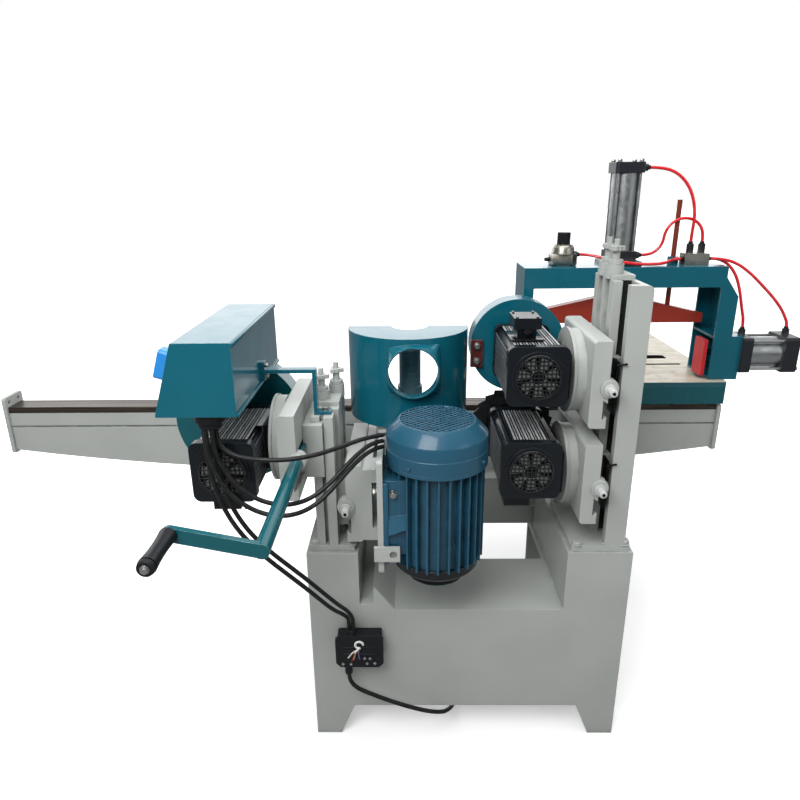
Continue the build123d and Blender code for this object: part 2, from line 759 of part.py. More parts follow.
def build_slide(node, face_x, out, slide_z, front, disc):
    """Cross slide: channel and dovetail groove on the saddle side, swivel disc on the other."""
    inner = SADDLE_T + RUN
    outer = inner + SLIDE_T
    x_in = face_x + out * inner
    x_out = face_x + out * outer
    feed_z = slide_z + FEED_Z
    dove_z = slide_z + DOVE_Z
    flank = (DOVE_WIDE - DOVE_NECK) / DOVE_D
    groove = DOVE_D - RUN + DOVE_GAP
    neck = DOVE_NECK + flank * RUN + DOVE_GAP
    wide = neck + flank * groove
    with BuildPart() as slide:
        with BuildSketch(at_y(front + SLIDE_L)):
            with Locations(((x_in + x_out) / 2, slide_z + SLIDE_H / 2)):
                Rectangle(SLIDE_T, SLIDE_H)
            with Locations((x_in, feed_z)):
                Rectangle(2 * CHANNEL_D, CHANNEL_W, mode=Mode.SUBTRACT)
            with BuildLine():
                Polyline((x_in - out * SLIDE_T, dove_z - neck), (x_in, dove_z - neck),
                         (x_in + out * groove, dove_z - wide), (x_in + out * groove, dove_z + wide),
                         (x_in, dove_z + neck), (x_in - out * SLIDE_T, dove_z + neck), close=True)
            make_face(mode=Mode.SUBTRACT)
        extrude(amount=SLIDE_L)
        outer_edges = slide.edges().filter_by(Axis.Y).group_by(Axis.X)[0 if out < 0 else -1]
        fillet(outer_edges, radius=PLATE)
        # Bearing plate with a bulge and a boss for the feed screw
        with BuildSketch(at_y(front + BEARING_T)):
            with Locations((x_in, feed_z)):
                Circle(BULGE_R)
            with Locations((x_in + out * CHANNEL_D / 2, feed_z)):
                Rectangle(CHANNEL_D + RUN, CHANNEL_W + RUN)
        extrude(amount=BEARING_T)
        bar_y(front - BOSS_H, front + RUN, x_in, feed_z, BOSS_R)
        bar_y(front - 2 * BOSS_H, front + 2 * BEARING_T, x_in, feed_z, FEED_R + FIT, mode=Mode.SUBTRACT)
        if disc:
            disc_z = slide_z + SLIDE_H / 2
            disc_x = x_out + out * DISC_T
            bar_x(min(x_out, disc_x), max(x_out, disc_x), DISC_Y + front - UPPER_FRONT, disc_z, DISC_R)
            bar_x(disc_x, disc_x + SCALE_T, DISC_Y + front - UPPER_FRONT, disc_z, SCALE_R)
    save(slide.part, node)


build_slide("upper_slide", COLUMN_R_FACE, -1, UPPER_Z, UPPER_FRONT, True)
build_slide("lower_slide", COLUMN_R_FACE, -1, LOWER_Z, LOWER_FRONT, True)
build_slide("left_slide", COLUMN_L_FACE, -1, LEFT_Z, LEFT_FRONT, True)
build_slide("centre_slide", COLUMN_C_FACE, 1, CENTRE_Z, CENTRE_FRONT, False)


def build_feed_screw(node, face_x, out, slide_z, front):
    """Feed screw with a collar at the boss and a bare end for a crank."""
    x = face_x + out * (SADDLE_T + RUN)
    z = slide_z + FEED_Z
    with BuildPart() as screw:
        bar_y(front - FEED_STUB, front + FEED_BACK, x, z, FEED_R)
        bar_y(front - 2 * BOSS_H, front - BOSS_H - RUN, x, z, BOSS_R - BOSS_H)
        chamfer(screw.edges().filter_by(GeomType.CIRCLE).sort_by(Axis.Y)[0], length=1.5)
    save(screw.part, node)


build_feed_screw("upper_feed_screw", COLUMN_R_FACE, -1, UPPER_Z, UPPER_FRONT)
build_feed_screw("lower_feed_screw", COLUMN_R_FACE, -1, LOWER_Z, LOWER_FRONT)
build_feed_screw("centre_feed_screw", COLUMN_C_FACE, 1, CENTRE_Z, CENTRE_FRONT)

# Crank: feed screw of the left head, tube, flat arm and grip pin in one piece
crank_x = COLUMN_L_FACE - SADDLE_T - RUN
crank_z = LEFT_Z + FEED_Z
arm_x = crank_x + CRANK_ARM_X
arm_z = crank_z + CRANK_ARM_Z
with BuildPart() as crank:
    bar_y(LEFT_FRONT - FEED_STUB, LEFT_FRONT + FEED_BACK, crank_x, crank_z, FEED_R)
    bar_y(CRANK_Y, LEFT_FRONT - BOSS_H - RUN, crank_x, crank_z, CRANK_TUBE_R)
    with BuildSketch(at_y(CRANK_Y + CRANK_ARM_T)):
        with BuildLine():
            Line((crank_x, crank_z), (arm_x, arm_z))
        trace(line_width=CRANK_ARM_W)
        with Locations((crank_x, crank_z), (arm_x, arm_z)):
            Circle(CRANK_ARM_W / 2)
    extrude(amount=CRANK_ARM_T)
    bar_y(CRANK_Y - GRIP_L - PLATE, CRANK_Y + RUN, arm_x, arm_z, GRIP_PIN_R)
    bar_y(CRANK_Y - GRIP_L - PLATE, CRANK_Y - GRIP_L - 2 * RUN, arm_x, arm_z, GRIP_R - GRIP_PIN_R / 2)
save(crank.part, "crank")

# Crank grip: a waisted handle that spins on the pin
with BuildPart() as grip:
    with BuildSketch(Plane.YZ.offset(arm_x)):
        with BuildLine():
            Polyline((CRANK_Y - RUN, arm_z + GRIP_PIN_R + FIT), (CRANK_Y - RUN, arm_z + GRIP_R))
            ThreePointArc((CRANK_Y - RUN, arm_z + GRIP_R), (CRANK_Y - GRIP_L / 2, arm_z + GRIP_R - 2),
                          (CRANK_Y - GRIP_L, arm_z + GRIP_R))
            Polyline((CRANK_Y - GRIP_L, arm_z + GRIP_R), (CRANK_Y - GRIP_L, arm_z + GRIP_PIN_R + FIT),
                     (CRANK_Y - RUN, arm_z + GRIP_PIN_R + FIT))
        make_face()
    revolve(axis=Axis((arm_x, 0, arm_z), (0, 1, 0)))
save(grip.part, "crank_grip")


def build_motor(node, axis_x, axis_z, face, disc_x, slide_z, front, nose_end, terminal_up):
    """Square finned motor with a grille cover, a rear nose and a foot on the swivel disc."""
    body_front = face + COVER_T + SEAM
    back = face + MOTOR_L
    side = MOTOR_S / 2
    with BuildPart() as motor:
        with BuildSketch(at_y(back - BELL_T)):
            with Locations((axis_x, axis_z)):
                RectangleRounded(MOTOR_CORE, MOTOR_CORE, MOTOR_CORNER / 2)
                with GridLocations(FIN_PITCH, 0, FIN_COUNT, 1):
                    Rectangle(FIN_T, MOTOR_S - FIN_T)
                with GridLocations(0, FIN_PITCH, 1, FIN_COUNT):
                    Rectangle(MOTOR_S - FIN_T, FIN_T)
        extrude(amount=back - BELL_T - body_front)
        with BuildSketch(at_y(back)):
            with Locations((axis_x, axis_z)):
                RectangleRounded(MOTOR_S, MOTOR_S, MOTOR_CORNER)
        extrude(amount=BELL_T)
        bar_y(back, nose_end, axis_x, axis_z, NOSE_R)
        # Foot plate to the swivel disc
        foot_y = DISC_Y + front - UPPER_FRONT
        foot_z = slide_z + SLIDE_H / 2
        block(axis_x + MOTOR_CORE / 2 - FIN_T, disc_x, foot_y - MOUNT_L / 2, foot_y + MOUNT_L / 2,
              foot_z - MOUNT_H / 2, foot_z + MOUNT_H / 2)
        bar_y(face, nose_end + COVER_T, axis_x, axis_z, SHAFT_R + FIT, mode=Mode.SUBTRACT)
        # Terminal box on a neck
        way = 1 if terminal_up else -1
        wall_z = axis_z + way * MOTOR_CORE / 2
        box_z = wall_z + way * (TERMINAL_H + side - MOTOR_CORE / 2)
        box_y = body_front + TERMINAL_L
        box_x = axis_x - side / 4
        neck_w = TERMINAL_W - 2 * PLATE
        block(box_x - neck_w / 2, box_x + neck_w / 2, box_y - TERMINAL_L / 2 + PLATE,
              box_y + TERMINAL_L / 2 - PLATE, wall_z - way * RUN, box_z - way * TERMINAL_H / 2)
        block(box_x - TERMINAL_W / 2, box_x + TERMINAL_W / 2, box_y - TERMINAL_L / 2, box_y + TERMINAL_L / 2,
              box_z - way * TERMINAL_H / 2, box_z)
        # Front cover: a cup with a raised ring and a square-mesh grille
        with BuildSketch(at_y(face + COVER_T)):
            with Locations((axis_x, axis_z)):
                RectangleRounded(MOTOR_S, MOTOR_S, MOTOR_CORNER)
        extrude(amount=COVER_T)
        bar_y(face - RING_H, face + RUN, axis_x, axis_z, RING_R)
        bar_y(face - RING_H, face, axis_x, axis_z, RING_R - RING_W, mode=Mode.SUBTRACT)
        bar_y(face + COVER_WALL, face + COVER_T, axis_x, axis_z, RING_R - RING_W + RUN, mode=Mode.SUBTRACT)
        half_count = int(GRILLE_R // GRILLE_PITCH) + 1
        steps = [GRILLE_PITCH * (i + 0.5) for i in range(-half_count, half_count)]
        holes = [(x, z) for x in steps for z in steps if math.hypot(x, z) + GRILLE_HOLE / 2 < GRILLE_R]
        with BuildSketch(at_y(face + COVER_WALL + RUN)):
            with Locations(*[(axis_x + x, axis_z + z) for x, z in holes]):
                Rectangle(GRILLE_HOLE, GRILLE_HOLE)
        extrude(amount=COVER_WALL + 2 * RUN, mode=Mode.SUBTRACT)
    save(motor.part, node)


def build_rotor(node, axis_x, axis_z, face, blade_y):
    """Rotor shaft with its fan, the two blade flanges and the nut."""
    fan_y = face + COVER_WALL + PLATE / 2
    with BuildPart() as rotor:
        bar_y(fan_y, blade_y + SHAFT_TAIL, axis_x, axis_z, SHAFT_R)
        bar_y(fan_y, fan_y + FAN_T, axis_x, axis_z, FAN_R)
        bar_y(blade_y - BLADE_T / 2 - CLAMP_T, blade_y - BLADE_T / 2, axis_x, axis_z, CLAMP_R)
        bar_y(blade_y + BLADE_T / 2, blade_y + BLADE_T / 2 + CLAMP_T, axis_x, axis_z, CLAMP_R)
        nut_y = blade_y + BLADE_T / 2 + CLAMP_T
        with BuildSketch(at_y(nut_y + NUT_T)):
            with Locations((axis_x, axis_z)):
                RegularPolygon(NUT_R, 6)
        extrude(amount=NUT_T)
    save(rotor.part, node)


def build_blade(node, axis_x, axis_z, blade_y, radius):
    """Saw blade: round plate with raked teeth."""
    root = radius - TOOTH_H
    pitch = 360 / BLADE_TEETH
    points = []
    for tooth in range(BLADE_TEETH):
        low = math.radians(tooth * pitch)
        high = math.radians((tooth + 0.75) * pitch)
        points.append((axis_x + root * math.cos(low), axis_z + root * math.sin(low)))
        points.append((axis_x + radius * math.cos(high), axis_z + radius * math.sin(high)))
    with BuildPart() as blade:
        outline_y(points, blade_y - BLADE_T / 2, blade_y + BLADE_T / 2)
        bar_y(blade_y - BLADE_T, blade_y + BLADE_T, axis_x, axis_z, SHAFT_R + FIT, mode=Mode.SUBTRACT)
    save(blade.part, node)


disc_face_r = COLUMN_R_FACE - SADDLE_T - RUN - SLIDE_T - DISC_T
disc_face_l = COLUMN_L_FACE - SADDLE_T - RUN - SLIDE_T - DISC_T
LOWER_NOSE_END = LOWER_BLADE_Y - BLADE_T / 2 - CLAMP_T - 2 * RUN
build_motor("upper_motor", UPPER_AXIS_X, UPPER_AXIS_Z, UPPER_FACE, disc_face_r, UPPER_Z, UPPER_FRONT,
            HOOD_FRONT, True)
build_motor("lower_motor", LOWER_AXIS_X, LOWER_AXIS_Z, LOWER_FACE, disc_face_r, LOWER_Z, LOWER_FRONT,
            LOWER_NOSE_END, False)
build_motor("left_motor", LEFT_AXIS_X, LEFT_AXIS_Z, LEFT_FACE, disc_face_l, LEFT_Z, LEFT_FRONT,
            GUARD_FRONT, False)
build_rotor("upper_rotor", UPPER_AXIS_X, UPPER_AXIS_Z, UPPER_FACE, UPPER_BLADE_Y)
build_rotor("lower_rotor", LOWER_AXIS_X, LOWER_AXIS_Z, LOWER_FACE, LOWER_BLADE_Y)
build_rotor("left_rotor", LEFT_AXIS_X, LEFT_AXIS_Z, LEFT_FACE, LEFT_BLADE_Y)
build_blade("upper_blade", UPPER_AXIS_X, UPPER_AXIS_Z, UPPER_BLADE_Y, UPPER_BLADE_R)
build_blade("lower_blade", LOWER_AXIS_X, LOWER_AXIS_Z, LOWER_BLADE_Y, LOWER_BLADE_R)
build_blade("left_blade", LEFT_AXIS_X, LEFT_AXIS_Z, LEFT_BLADE_Y, LEFT_BLADE_R)

# Saw hood: round pan over the upper blade, open to the table, with a clamp bracket on its left
with BuildPart() as hood:
    bar_y(HOOD_FRONT, HOOD_FRONT + HOOD_D, UPPER_AXIS_X, UPPER_AXIS_Z, HOOD_R)
    bar_y(HOOD_FRONT + SHEET, HOOD_FRONT + HOOD_D + SHEET, UPPER_AXIS_X, UPPER_AXIS_Z, HOOD_R - SHEET,
          mode=Mode.SUBTRACT)
    bar_y(HOOD_FRONT - SHEET, HOOD_FRONT + 2 * SHEET, UPPER_AXIS_X, UPPER_AXIS_Z, CLAMP_R, mode=Mode.SUBTRACT)
    # The lower part of the rim is left open for the work
    block(UPPER_AXIS_X - HOOD_R, UPPER_AXIS_X + HOOD_R, HOOD_FRONT + SHEET, HOOD_FRONT + HOOD_D + SHEET,
          UPPER_AXIS_Z - HOOD_R - SHEET, UPPER_AXIS_Z - HOOD_R / 2, mode=Mode.SUBTRACT)
    bracket_x = UPPER_AXIS_X - HOOD_R * 0.87
    block(bracket_x - HOOD_BRACKET_W / 2, bracket_x + HOOD_BRACKET_W / 2, HOOD_FRONT - HOOD_BRACKET_T,
          HOOD_FRONT + SHEET, UPPER_AXIS_Z - HOOD_BRACKET_H * 0.75, UPPER_AXIS_Z + HOOD_BRACKET_H * 0.25)
save(hood.part, "saw_hood")

# Blade guard of the left head: a round pan with a flat top, open to the table
with BuildPart() as guard:
    bar_y(GUARD_FRONT, GUARD_FRONT + GUARD_D, GUARD_X, GUARD_Z, GUARD_R)
    bar_y(GUARD_FRONT + SHEET, GUARD_FRONT + GUARD_D + SHEET, GUARD_X, GUARD_Z, GUARD_R - SHEET,
          mode=Mode.SUBTRACT)
    bar_y(GUARD_FRONT - SHEET, GUARD_FRONT + 2 * SHEET, LEFT_AXIS_X, LEFT_AXIS_Z, CLAMP_R, mode=Mode.SUBTRACT)
    block(GUARD_X - GUARD_R, GUARD_X + GUARD_R, GUARD_FRONT - SHEET, GUARD_FRONT + GUARD_D + SHEET,
          GUARD_TOP, GUARD_Z + GUARD_R + SHEET, mode=Mode.SUBTRACT)
save(guard.part, "blade_guard")

# Spindle housing: carrier plate on the slide, ribs and a bored barrel
carrier_x0 = COLUMN_C_FACE + SADDLE_T + RUN + SLIDE_T
carrier_x1 = carrier_x0 + CARRIER_T
with BuildPart() as housing:
    block(carrier_x0, carrier_x1, CENTRE_FRONT, CARRIER_BACK, CARRIER_Z0, CARRIER_Z0 + CARRIER_H)
    bar_z(HOUSING_BOTTOM, HOUSING_TOP, SPINDLE_X, SPINDLE_Y, HOUSING_R)
    bar_z(HOUSING_TOP - HOUSING_FLANGE_T, HOUSING_TOP, SPINDLE_X, SPINDLE_Y, HOUSING_FLANGE_R)
    for rib_y in (SPINDLE_Y - HOUSING_R + CARRIER_RIB, SPINDLE_Y + HOUSING_R - CARRIER_RIB):
        block(carrier_x1 - RUN, SPINDLE_X, rib_y - CARRIER_RIB / 2, rib_y + CARRIER_RIB / 2,
              CARRIER_Z0 + CARRIER_RIB, CARRIER_Z0 + CARRIER_H - CARRIER_RIB)
    bar_z(HOUSING_BOTTOM - RUN, HOUSING_TOP + RUN, SPINDLE_X, SPINDLE_Y, SPINDLE_R + FIT, mode=Mode.SUBTRACT)
save(housing.part, "spindle_housing")

# Spindle: shaft, pulley, collar and cap nut
pulley_top = PULLEY_Z0 + PULLEY_H
with BuildPart() as spindle:
    bar_z(SPINDLE_BOTTOM, SPINDLE_TOP, SPINDLE_X, SPINDLE_Y, SPINDLE_R)
    bar_z(PULLEY_Z0, pulley_top, SPINDLE_X, SPINDLE_Y, SPINDLE_PULLEY_R)
    for lip_z in (PULLEY_Z0, pulley_top - PULLEY_LIP_H):
        bar_z(lip_z, lip_z + PULLEY_LIP_H, SPINDLE_X, SPINDLE_Y, SPINDLE_PULLEY_R + PULLEY_LIP)
    bar_z(COLLAR_TOP - COLLAR_H, COLLAR_TOP, SPINDLE_X, SPINDLE_Y, COLLAR_R)
    with BuildSketch(at_z(SPINDLE_TOP - COLLAR_H)):
        with Locations((SPINDLE_X, SPINDLE_Y)):
            RegularPolygon(CAP_NUT_R, 6)
    extrude(amount=COLLAR_H * 0.8)
save(spindle.part, "spindle")

# Spacer rings on the spindle
with BuildPart() as rings:
    for ring in range(RINGS):
        ring_z = COLLAR_TOP + ring * (RING_L + RING_GAP)
        with BuildSketch(at_z(ring_z)):
            with Locations((SPINDLE_X, SPINDLE_Y)):
                Circle(RING_OUT)
                Circle(SPINDLE_R + FIT, mode=Mode.SUBTRACT)
        extrude(amount=RING_L)
save(rings.part, "spacer_rings")

# Cutter hood: D-shaped shell with a round notch over the spindle and a square-to-round dust port
with BuildPart() as cutter_hood:
    with BuildSketch(at_z(HOUSING_TOP)):
        with Locations((HOOD_PLAN_X, SPINDLE_Y)):
            Circle(HOOD_PLAN_R)
        with Locations((HOOD_PLAN_X, SPINDLE_Y + HOOD_PLAN_R)):
            Rectangle(2 * HOOD_PLAN_R, 2 * HOOD_PLAN_R, mode=Mode.SUBTRACT)
    extrude(amount=HOOD_TOP - HOUSING_TOP)
    port_root = SPINDLE_Y - HOOD_PLAN_R * 0.8
    with BuildSketch(at_y(port_root)):
        with Locations((PORT_X, PORT_Z)):
            RectangleRounded(PORT_SQUARE, PORT_SQUARE, PLATE)
    with BuildSketch(at_y(PORT_Y)):
        with Locations((PORT_X, PORT_Z)):
            Circle(PORT_R + PORT_WALL)
    loft()
    with BuildSketch(at_z(HOUSING_TOP + SHEET)):
        with Locations((HOOD_PLAN_X, SPINDLE_Y)):
            Circle(HOOD_PLAN_R - SHEET)
        with Locations((HOOD_PLAN_X, SPINDLE_Y + HOOD_PLAN_R + SHEET)):
            Rectangle(2 * HOOD_PLAN_R, 2 * HOOD_PLAN_R, mode=Mode.SUBTRACT)
    extrude(amount=HOOD_TOP - HOUSING_TOP - 2 * SHEET, mode=Mode.SUBTRACT)
    block(HOOD_PLAN_X - HOOD_PLAN_R + SHEET, HOOD_PLAN_X + HOOD_PLAN_R - SHEET, SPINDLE_Y - 2 * SHEET,
          SPINDLE_Y + SHEET, HOUSING_TOP + SHEET, HOOD_TOP - SHEET, mode=Mode.SUBTRACT)
    bar_y(PORT_Y - SHEET, SPINDLE_Y, PORT_X, PORT_Z, PORT_R, mode=Mode.SUBTRACT)
    bar_z(HOOD_TOP - 2 * SHEET, HOOD_TOP + SHEET, SPINDLE_X, SPINDLE_Y, HOOD_NOTCH_R, mode=Mode.SUBTRACT)
    bar_z(HOUSING_TOP - SHEET, HOUSING_TOP + 2 * SHEET, SPINDLE_X, SPINDLE_Y, HOOD_HOLE_R, mode=Mode.SUBTRACT)
save(cutter_hood.part, "cutter_hood")

# Motor plate: stands off the carrier on two rails, with the belt tension lug
plate_x0 = FOOT_FACE_X - MOTOR_PLATE_T
with BuildPart() as motor_plate:
    block(plate_x0, FOOT_FACE_X, MOTOR_PLATE_FRONT, MOTOR_PLATE_BACK, MOTOR_PLATE_Z0, MOTOR_PLATE_Z1)
    plate_corners = motor_plate.edges().filter_by(Axis.X)
    fillet(plate_corners, radius=PLATE)
    for rail_z in (CARRIER_Z0, CARRIER_Z0 + CARRIER_H - MOTOR_RAIL_H):
        block(carrier_x1, plate_x0 + RUN, CENTRE_FRONT, MOTOR_PLATE_BACK, rail_z, rail_z + MOTOR_RAIL_H)
    block(plate_x0 - PLATE, FOOT_FACE_X + TENSION_LUG, MOTOR_PLATE_FRONT - PLATE, MOTOR_PLATE_FRONT + RUN,
          MOTOR_PLATE_Z0 + TENSION_LUG, MOTOR_PLATE_Z0 + 2 * TENSION_LUG)
    bar_y(MOTOR_PLATE_FRONT - 2 * PLATE, MOTOR_PLATE_FRONT, FOOT_FACE_X + TENSION_LUG * 0.6,
          MOTOR_PLATE_Z0 + 1.5 * TENSION_LUG, FEED_R, mode=Mode.SUBTRACT)
save(motor_plate.part, "motor_plate")

# Blue motor: finned barrel with a foot pad and a lower end shield
with BuildPart() as blue_motor:
    with BuildSketch(at_z(BLUE_Z0)):
        with Locations((BLUE_X, BLUE_Y)):
            Circle(BLUE_BODY_R)
            with PolarLocations((BLUE_BODY_R + BLUE_FIN_R) / 2, BLUE_FINS):
                Rectangle(BLUE_FIN_R - BLUE_BODY_R + 2 * BLUE_FIN_T, BLUE_FIN_T)
    extrude(amount=BLUE_Z1 - BLUE_Z0)
    bar_z(BLUE_Z0 - BLUE_SHIELD_T, BLUE_Z0, BLUE_X, BLUE_Y, BLUE_SHIELD_R)
    chamfer(blue_motor.edges().filter_by(GeomType.CIRCLE).sort_by(Axis.Z)[0], length=PLATE)
    bar_z(BLUE_Z1 - BLUE_RIM_T, BLUE_Z1, BLUE_X, BLUE_Y, FAN_COVER_R)
    block(FOOT_FACE_X, BLUE_X - BLUE_BODY_R / 2, BLUE_Y - FOOT_PAD_W / 2, BLUE_Y + FOOT_PAD_W / 2,
          FOOT_PAD_Z0, FOOT_PAD_Z0 + FOOT_PAD_H)
    bar_z(BLUE_Z0 - 2 * BLUE_SHIELD_T, BLUE_Z1 + BLUE_SHIELD_T, BLUE_X, BLUE_Y, BLUE_SHAFT_R + FIT,
          mode=Mode.SUBTRACT)
save(blue_motor.part, "blue_motor")

# Blue motor fan cover: a spun cup with a perforated top
cover_rise = FAN_COVER_TOP - FAN_COVER_STEP
inner_r = FAN_COVER_R - FAN_COVER_WALL
with BuildPart() as fan_cover:
    with BuildSketch(Plane.XZ.offset(-BLUE_Y)):
        with BuildLine():
            shoulder = BLUE_X + FAN_COVER_R - cover_rise * 0.12
            Polyline((BLUE_X, BLUE_Z1 + SEAM), (BLUE_X + FAN_COVER_R, BLUE_Z1 + SEAM),
                     (BLUE_X + FAN_COVER_R, FAN_COVER_STEP))
            ThreePointArc((BLUE_X + FAN_COVER_R, FAN_COVER_STEP),
                          (shoulder, FAN_COVER_STEP + cover_rise * 0.6),
                          (BLUE_X + FAN_COVER_TOP_R, FAN_COVER_TOP))
            Polyline((BLUE_X + FAN_COVER_TOP_R, FAN_COVER_TOP), (BLUE_X, FAN_COVER_TOP),
                     (BLUE_X, BLUE_Z1 + SEAM))
        make_face()
    revolve(axis=Axis((BLUE_X, BLUE_Y, 0), (0, 0, 1)))
    bar_z(BLUE_Z1, FAN_COVER_STEP, BLUE_X, BLUE_Y, inner_r, mode=Mode.SUBTRACT)
    with BuildSketch(at_z(FAN_COVER_STEP)):
        with Locations((BLUE_X, BLUE_Y)):
            Circle(inner_r)
    with BuildSketch(at_z(FAN_COVER_TOP - FAN_COVER_WALL)):
        with Locations((BLUE_X, BLUE_Y)):
            Circle(FAN_COVER_TOP_R - FAN_COVER_WALL)
    loft(mode=Mode.SUBTRACT)
    with BuildSketch(at_z(FAN_COVER_TOP - 2 * FAN_COVER_WALL)):
        with Locations((BLUE_X, BLUE_Y)):
            RegularPolygon(VENT_R, 6)
            for vent_ring in range(1, VENT_RINGS + 1):
                with PolarLocations(vent_ring * VENT_RING_STEP, 6 * vent_ring):
                    RegularPolygon(VENT_R, 6)
    extrude(amount=3 * FAN_COVER_WALL, mode=Mode.SUBTRACT)
save(fan_cover.part, "blue_motor_cover")

# Blue rotor: shaft, cooling fan and the large pulley
with BuildPart() as blue_rotor:
    bar_z(PULLEY_Z0, FAN_COVER_STEP + PLATE, BLUE_X, BLUE_Y, BLUE_SHAFT_R)
    bar_z(FAN_COVER_STEP - PLATE, FAN_COVER_STEP, BLUE_X, BLUE_Y, BLUE_FAN_R)
    bar_z(PULLEY_Z0, pulley_top, BLUE_X, BLUE_Y, MAIN_PULLEY_R)
    for lip_z in (PULLEY_Z0, pulley_top - PULLEY_LIP_H):
        bar_z(lip_z, lip_z + PULLEY_LIP_H, BLUE_X, BLUE_Y, MAIN_PULLEY_R + PULLEY_LIP)
save(blue_rotor.part, "blue_rotor")

# Drive belt: flat band around both pulleys
span = math.hypot(SPINDLE_X - BLUE_X, SPINDLE_Y - BLUE_Y)
heading = math.atan2(SPINDLE_Y - BLUE_Y, SPINDLE_X - BLUE_X)
lean = math.acos((MAIN_PULLEY_R - SPINDLE_PULLEY_R) / span)


def belt_face(gap):
    """Outline around both pulleys at a distance from their rims."""
    main_r = MAIN_PULLEY_R + gap
    small_r = SPINDLE_PULLEY_R + gap
    points = []
    for turn in (lean, -lean):
        angle = heading + turn
        points.append((BLUE_X + main_r * math.cos(angle), BLUE_Y + main_r * math.sin(angle)))
        points.append((SPINDLE_X + small_r * math.cos(angle), SPINDLE_Y + small_r * math.sin(angle)))
    main_far = (BLUE_X - main_r * math.cos(heading), BLUE_Y - main_r * math.sin(heading))
    small_far = (SPINDLE_X + small_r * math.cos(heading), SPINDLE_Y + small_r * math.sin(heading))
    Line(points[0], points[1])
    ThreePointArc(points[1], small_far, points[3])
    Line(points[3], points[2])
    ThreePointArc(points[2], main_far, points[0])


with BuildPart() as belt:
    with BuildSketch(at_z(PULLEY_Z0 + PULLEY_LIP_H + RUN)):
        with BuildLine():
            belt_face(BELT_T)
        make_face()
        with BuildLine():
            belt_face(BELT_GAP)
        make_face(mode=Mode.SUBTRACT)
    extrude(amount=PULLEY_H - 2 * PULLEY_LIP_H - 2 * RUN)
save(belt.part, "drive_belt")

# Control box: folded case with a sloped operator side, and a hole for the cable gland
with BuildPart() as control_box:
    outline_y([(BOX_BOTTOM_LEFT, BOX_Z0), (BOX_RIGHT, BOX_Z0), (BOX_RIGHT, BOX_Z1), (BOX_TOP_LEFT, BOX_Z1)],
              BOX_FRONT, BOX_BACK)
    fillet(control_box.edges().filter_by(Axis.Y), radius=SHEET)
    inner_slope = (BOX_TOP_LEFT - BOX_BOTTOM_LEFT) / (BOX_Z1 - BOX_Z0)
    inner_low = BOX_BOTTOM_LEFT + 1.2 * BOX_SHEET + inner_slope * BOX_SHEET
    inner_high = BOX_TOP_LEFT + 1.2 * BOX_SHEET - inner_slope * BOX_SHEET
    outline_y([(inner_low, BOX_Z0 + BOX_SHEET), (BOX_RIGHT - BOX_SHEET, BOX_Z0 + BOX_SHEET),
               (BOX_RIGHT - BOX_SHEET, BOX_Z1 - BOX_SHEET), (inner_high, BOX_Z1 - BOX_SHEET)],
              BOX_FRONT + BOX_SHEET, BOX_BACK - BOX_SHEET, mode=Mode.SUBTRACT)
    bar_z(BOX_Z0 - BOX_SHEET, BOX_Z0 + 2 * BOX_SHEET, GLAND_X, GLAND_Y, GLAND_R - 4 * SHEET,
          mode=Mode.SUBTRACT)
save(control_box.part, "control_box")

# Cable gland under the box
with BuildPart() as gland:
    bar_z(BOX_Z0 - GLAND_H * 0.55, BOX_Z0, GLAND_X, GLAND_Y, GLAND_R)
    bar_z(BOX_Z0 - GLAND_H, BOX_Z0 - GLAND_H * 0.55, GLAND_X, GLAND_Y, GLAND_R - 2 * SHEET)
    fillet(gland.edges().filter_by(GeomType.CIRCLE).sort_by(Axis.Z)[0], radius=SHEET)
save(gland.part, "cable_gland")

# Switch handle on the sloped side
slope = math.atan2(BOX_TOP_LEFT - BOX_BOTTOM_LEFT, BOX_Z1 - BOX_Z0)
slope_share = (SWITCH_Z - BOX_Z0) / (BOX_Z1 - BOX_Z0)
switch_x = BOX_BOTTOM_LEFT + (BOX_TOP_LEFT - BOX_BOTTOM_LEFT) * slope_share
switch_normal = (-math.cos(slope), 0, math.sin(slope))
switch_plane = Plane(origin=(switch_x, SWITCH_Y, SWITCH_Z), x_dir=(0, 1, 0), z_dir=switch_normal)
with BuildPart() as switch:
    with BuildSketch(switch_plane.offset(RUN)):
        Circle(SWITCH_BASE_R)
    extrude(amount=SWITCH_BASE_T)
    with BuildSketch(switch_plane.offset(SWITCH_BASE_T)):
        RectangleRounded(SWITCH_W, SWITCH_H, 3 * SHEET)
    extrude(amount=SWITCH_T)
    fillet(switch.faces().sort_by(Axis.X)[0].edges(), radius=SHEET)
save(switch.part, "switch_handle")

# Box bracket: flat bar bent down to a foot on the left column's nose
with BuildPart() as bracket:
    outline_y([
        (BAR_BACK_X, BAR_TOP), (BAR_X, BAR_TOP), (BAR_X, COLUMN_L_TOP + BAR_T),
        (BAR_FOOT_X, COLUMN_L_TOP + BAR_T), (BAR_FOOT_X, COLUMN_L_TOP), (BAR_X - BAR_T, COLUMN_L_TOP),
        (BAR_X - BAR_T, BAR_TOP - BAR_T),
        (BAR_BACK_X, BAR_TOP - BAR_T)], BAR_Y - BAR_W / 2, BAR_Y + BAR_W / 2)
    block(BAR_BACK_X, BOX_RIGHT, BAR_Y - BAR_W, BAR_Y + BAR_W, BAR_TOP - 2 * BAR_T, BAR_TOP + BAR_T,
          mode=Mode.SUBTRACT)
    block(BOX_RIGHT, BOX_RIGHT + BAR_T, BAR_Y - BAR_W / 2, BAR_Y + BAR_W / 2,
          BAR_TOP - 3 * BAR_T, BAR_TOP + 2 * BAR_T)
save(bracket.part, "box_bracket")

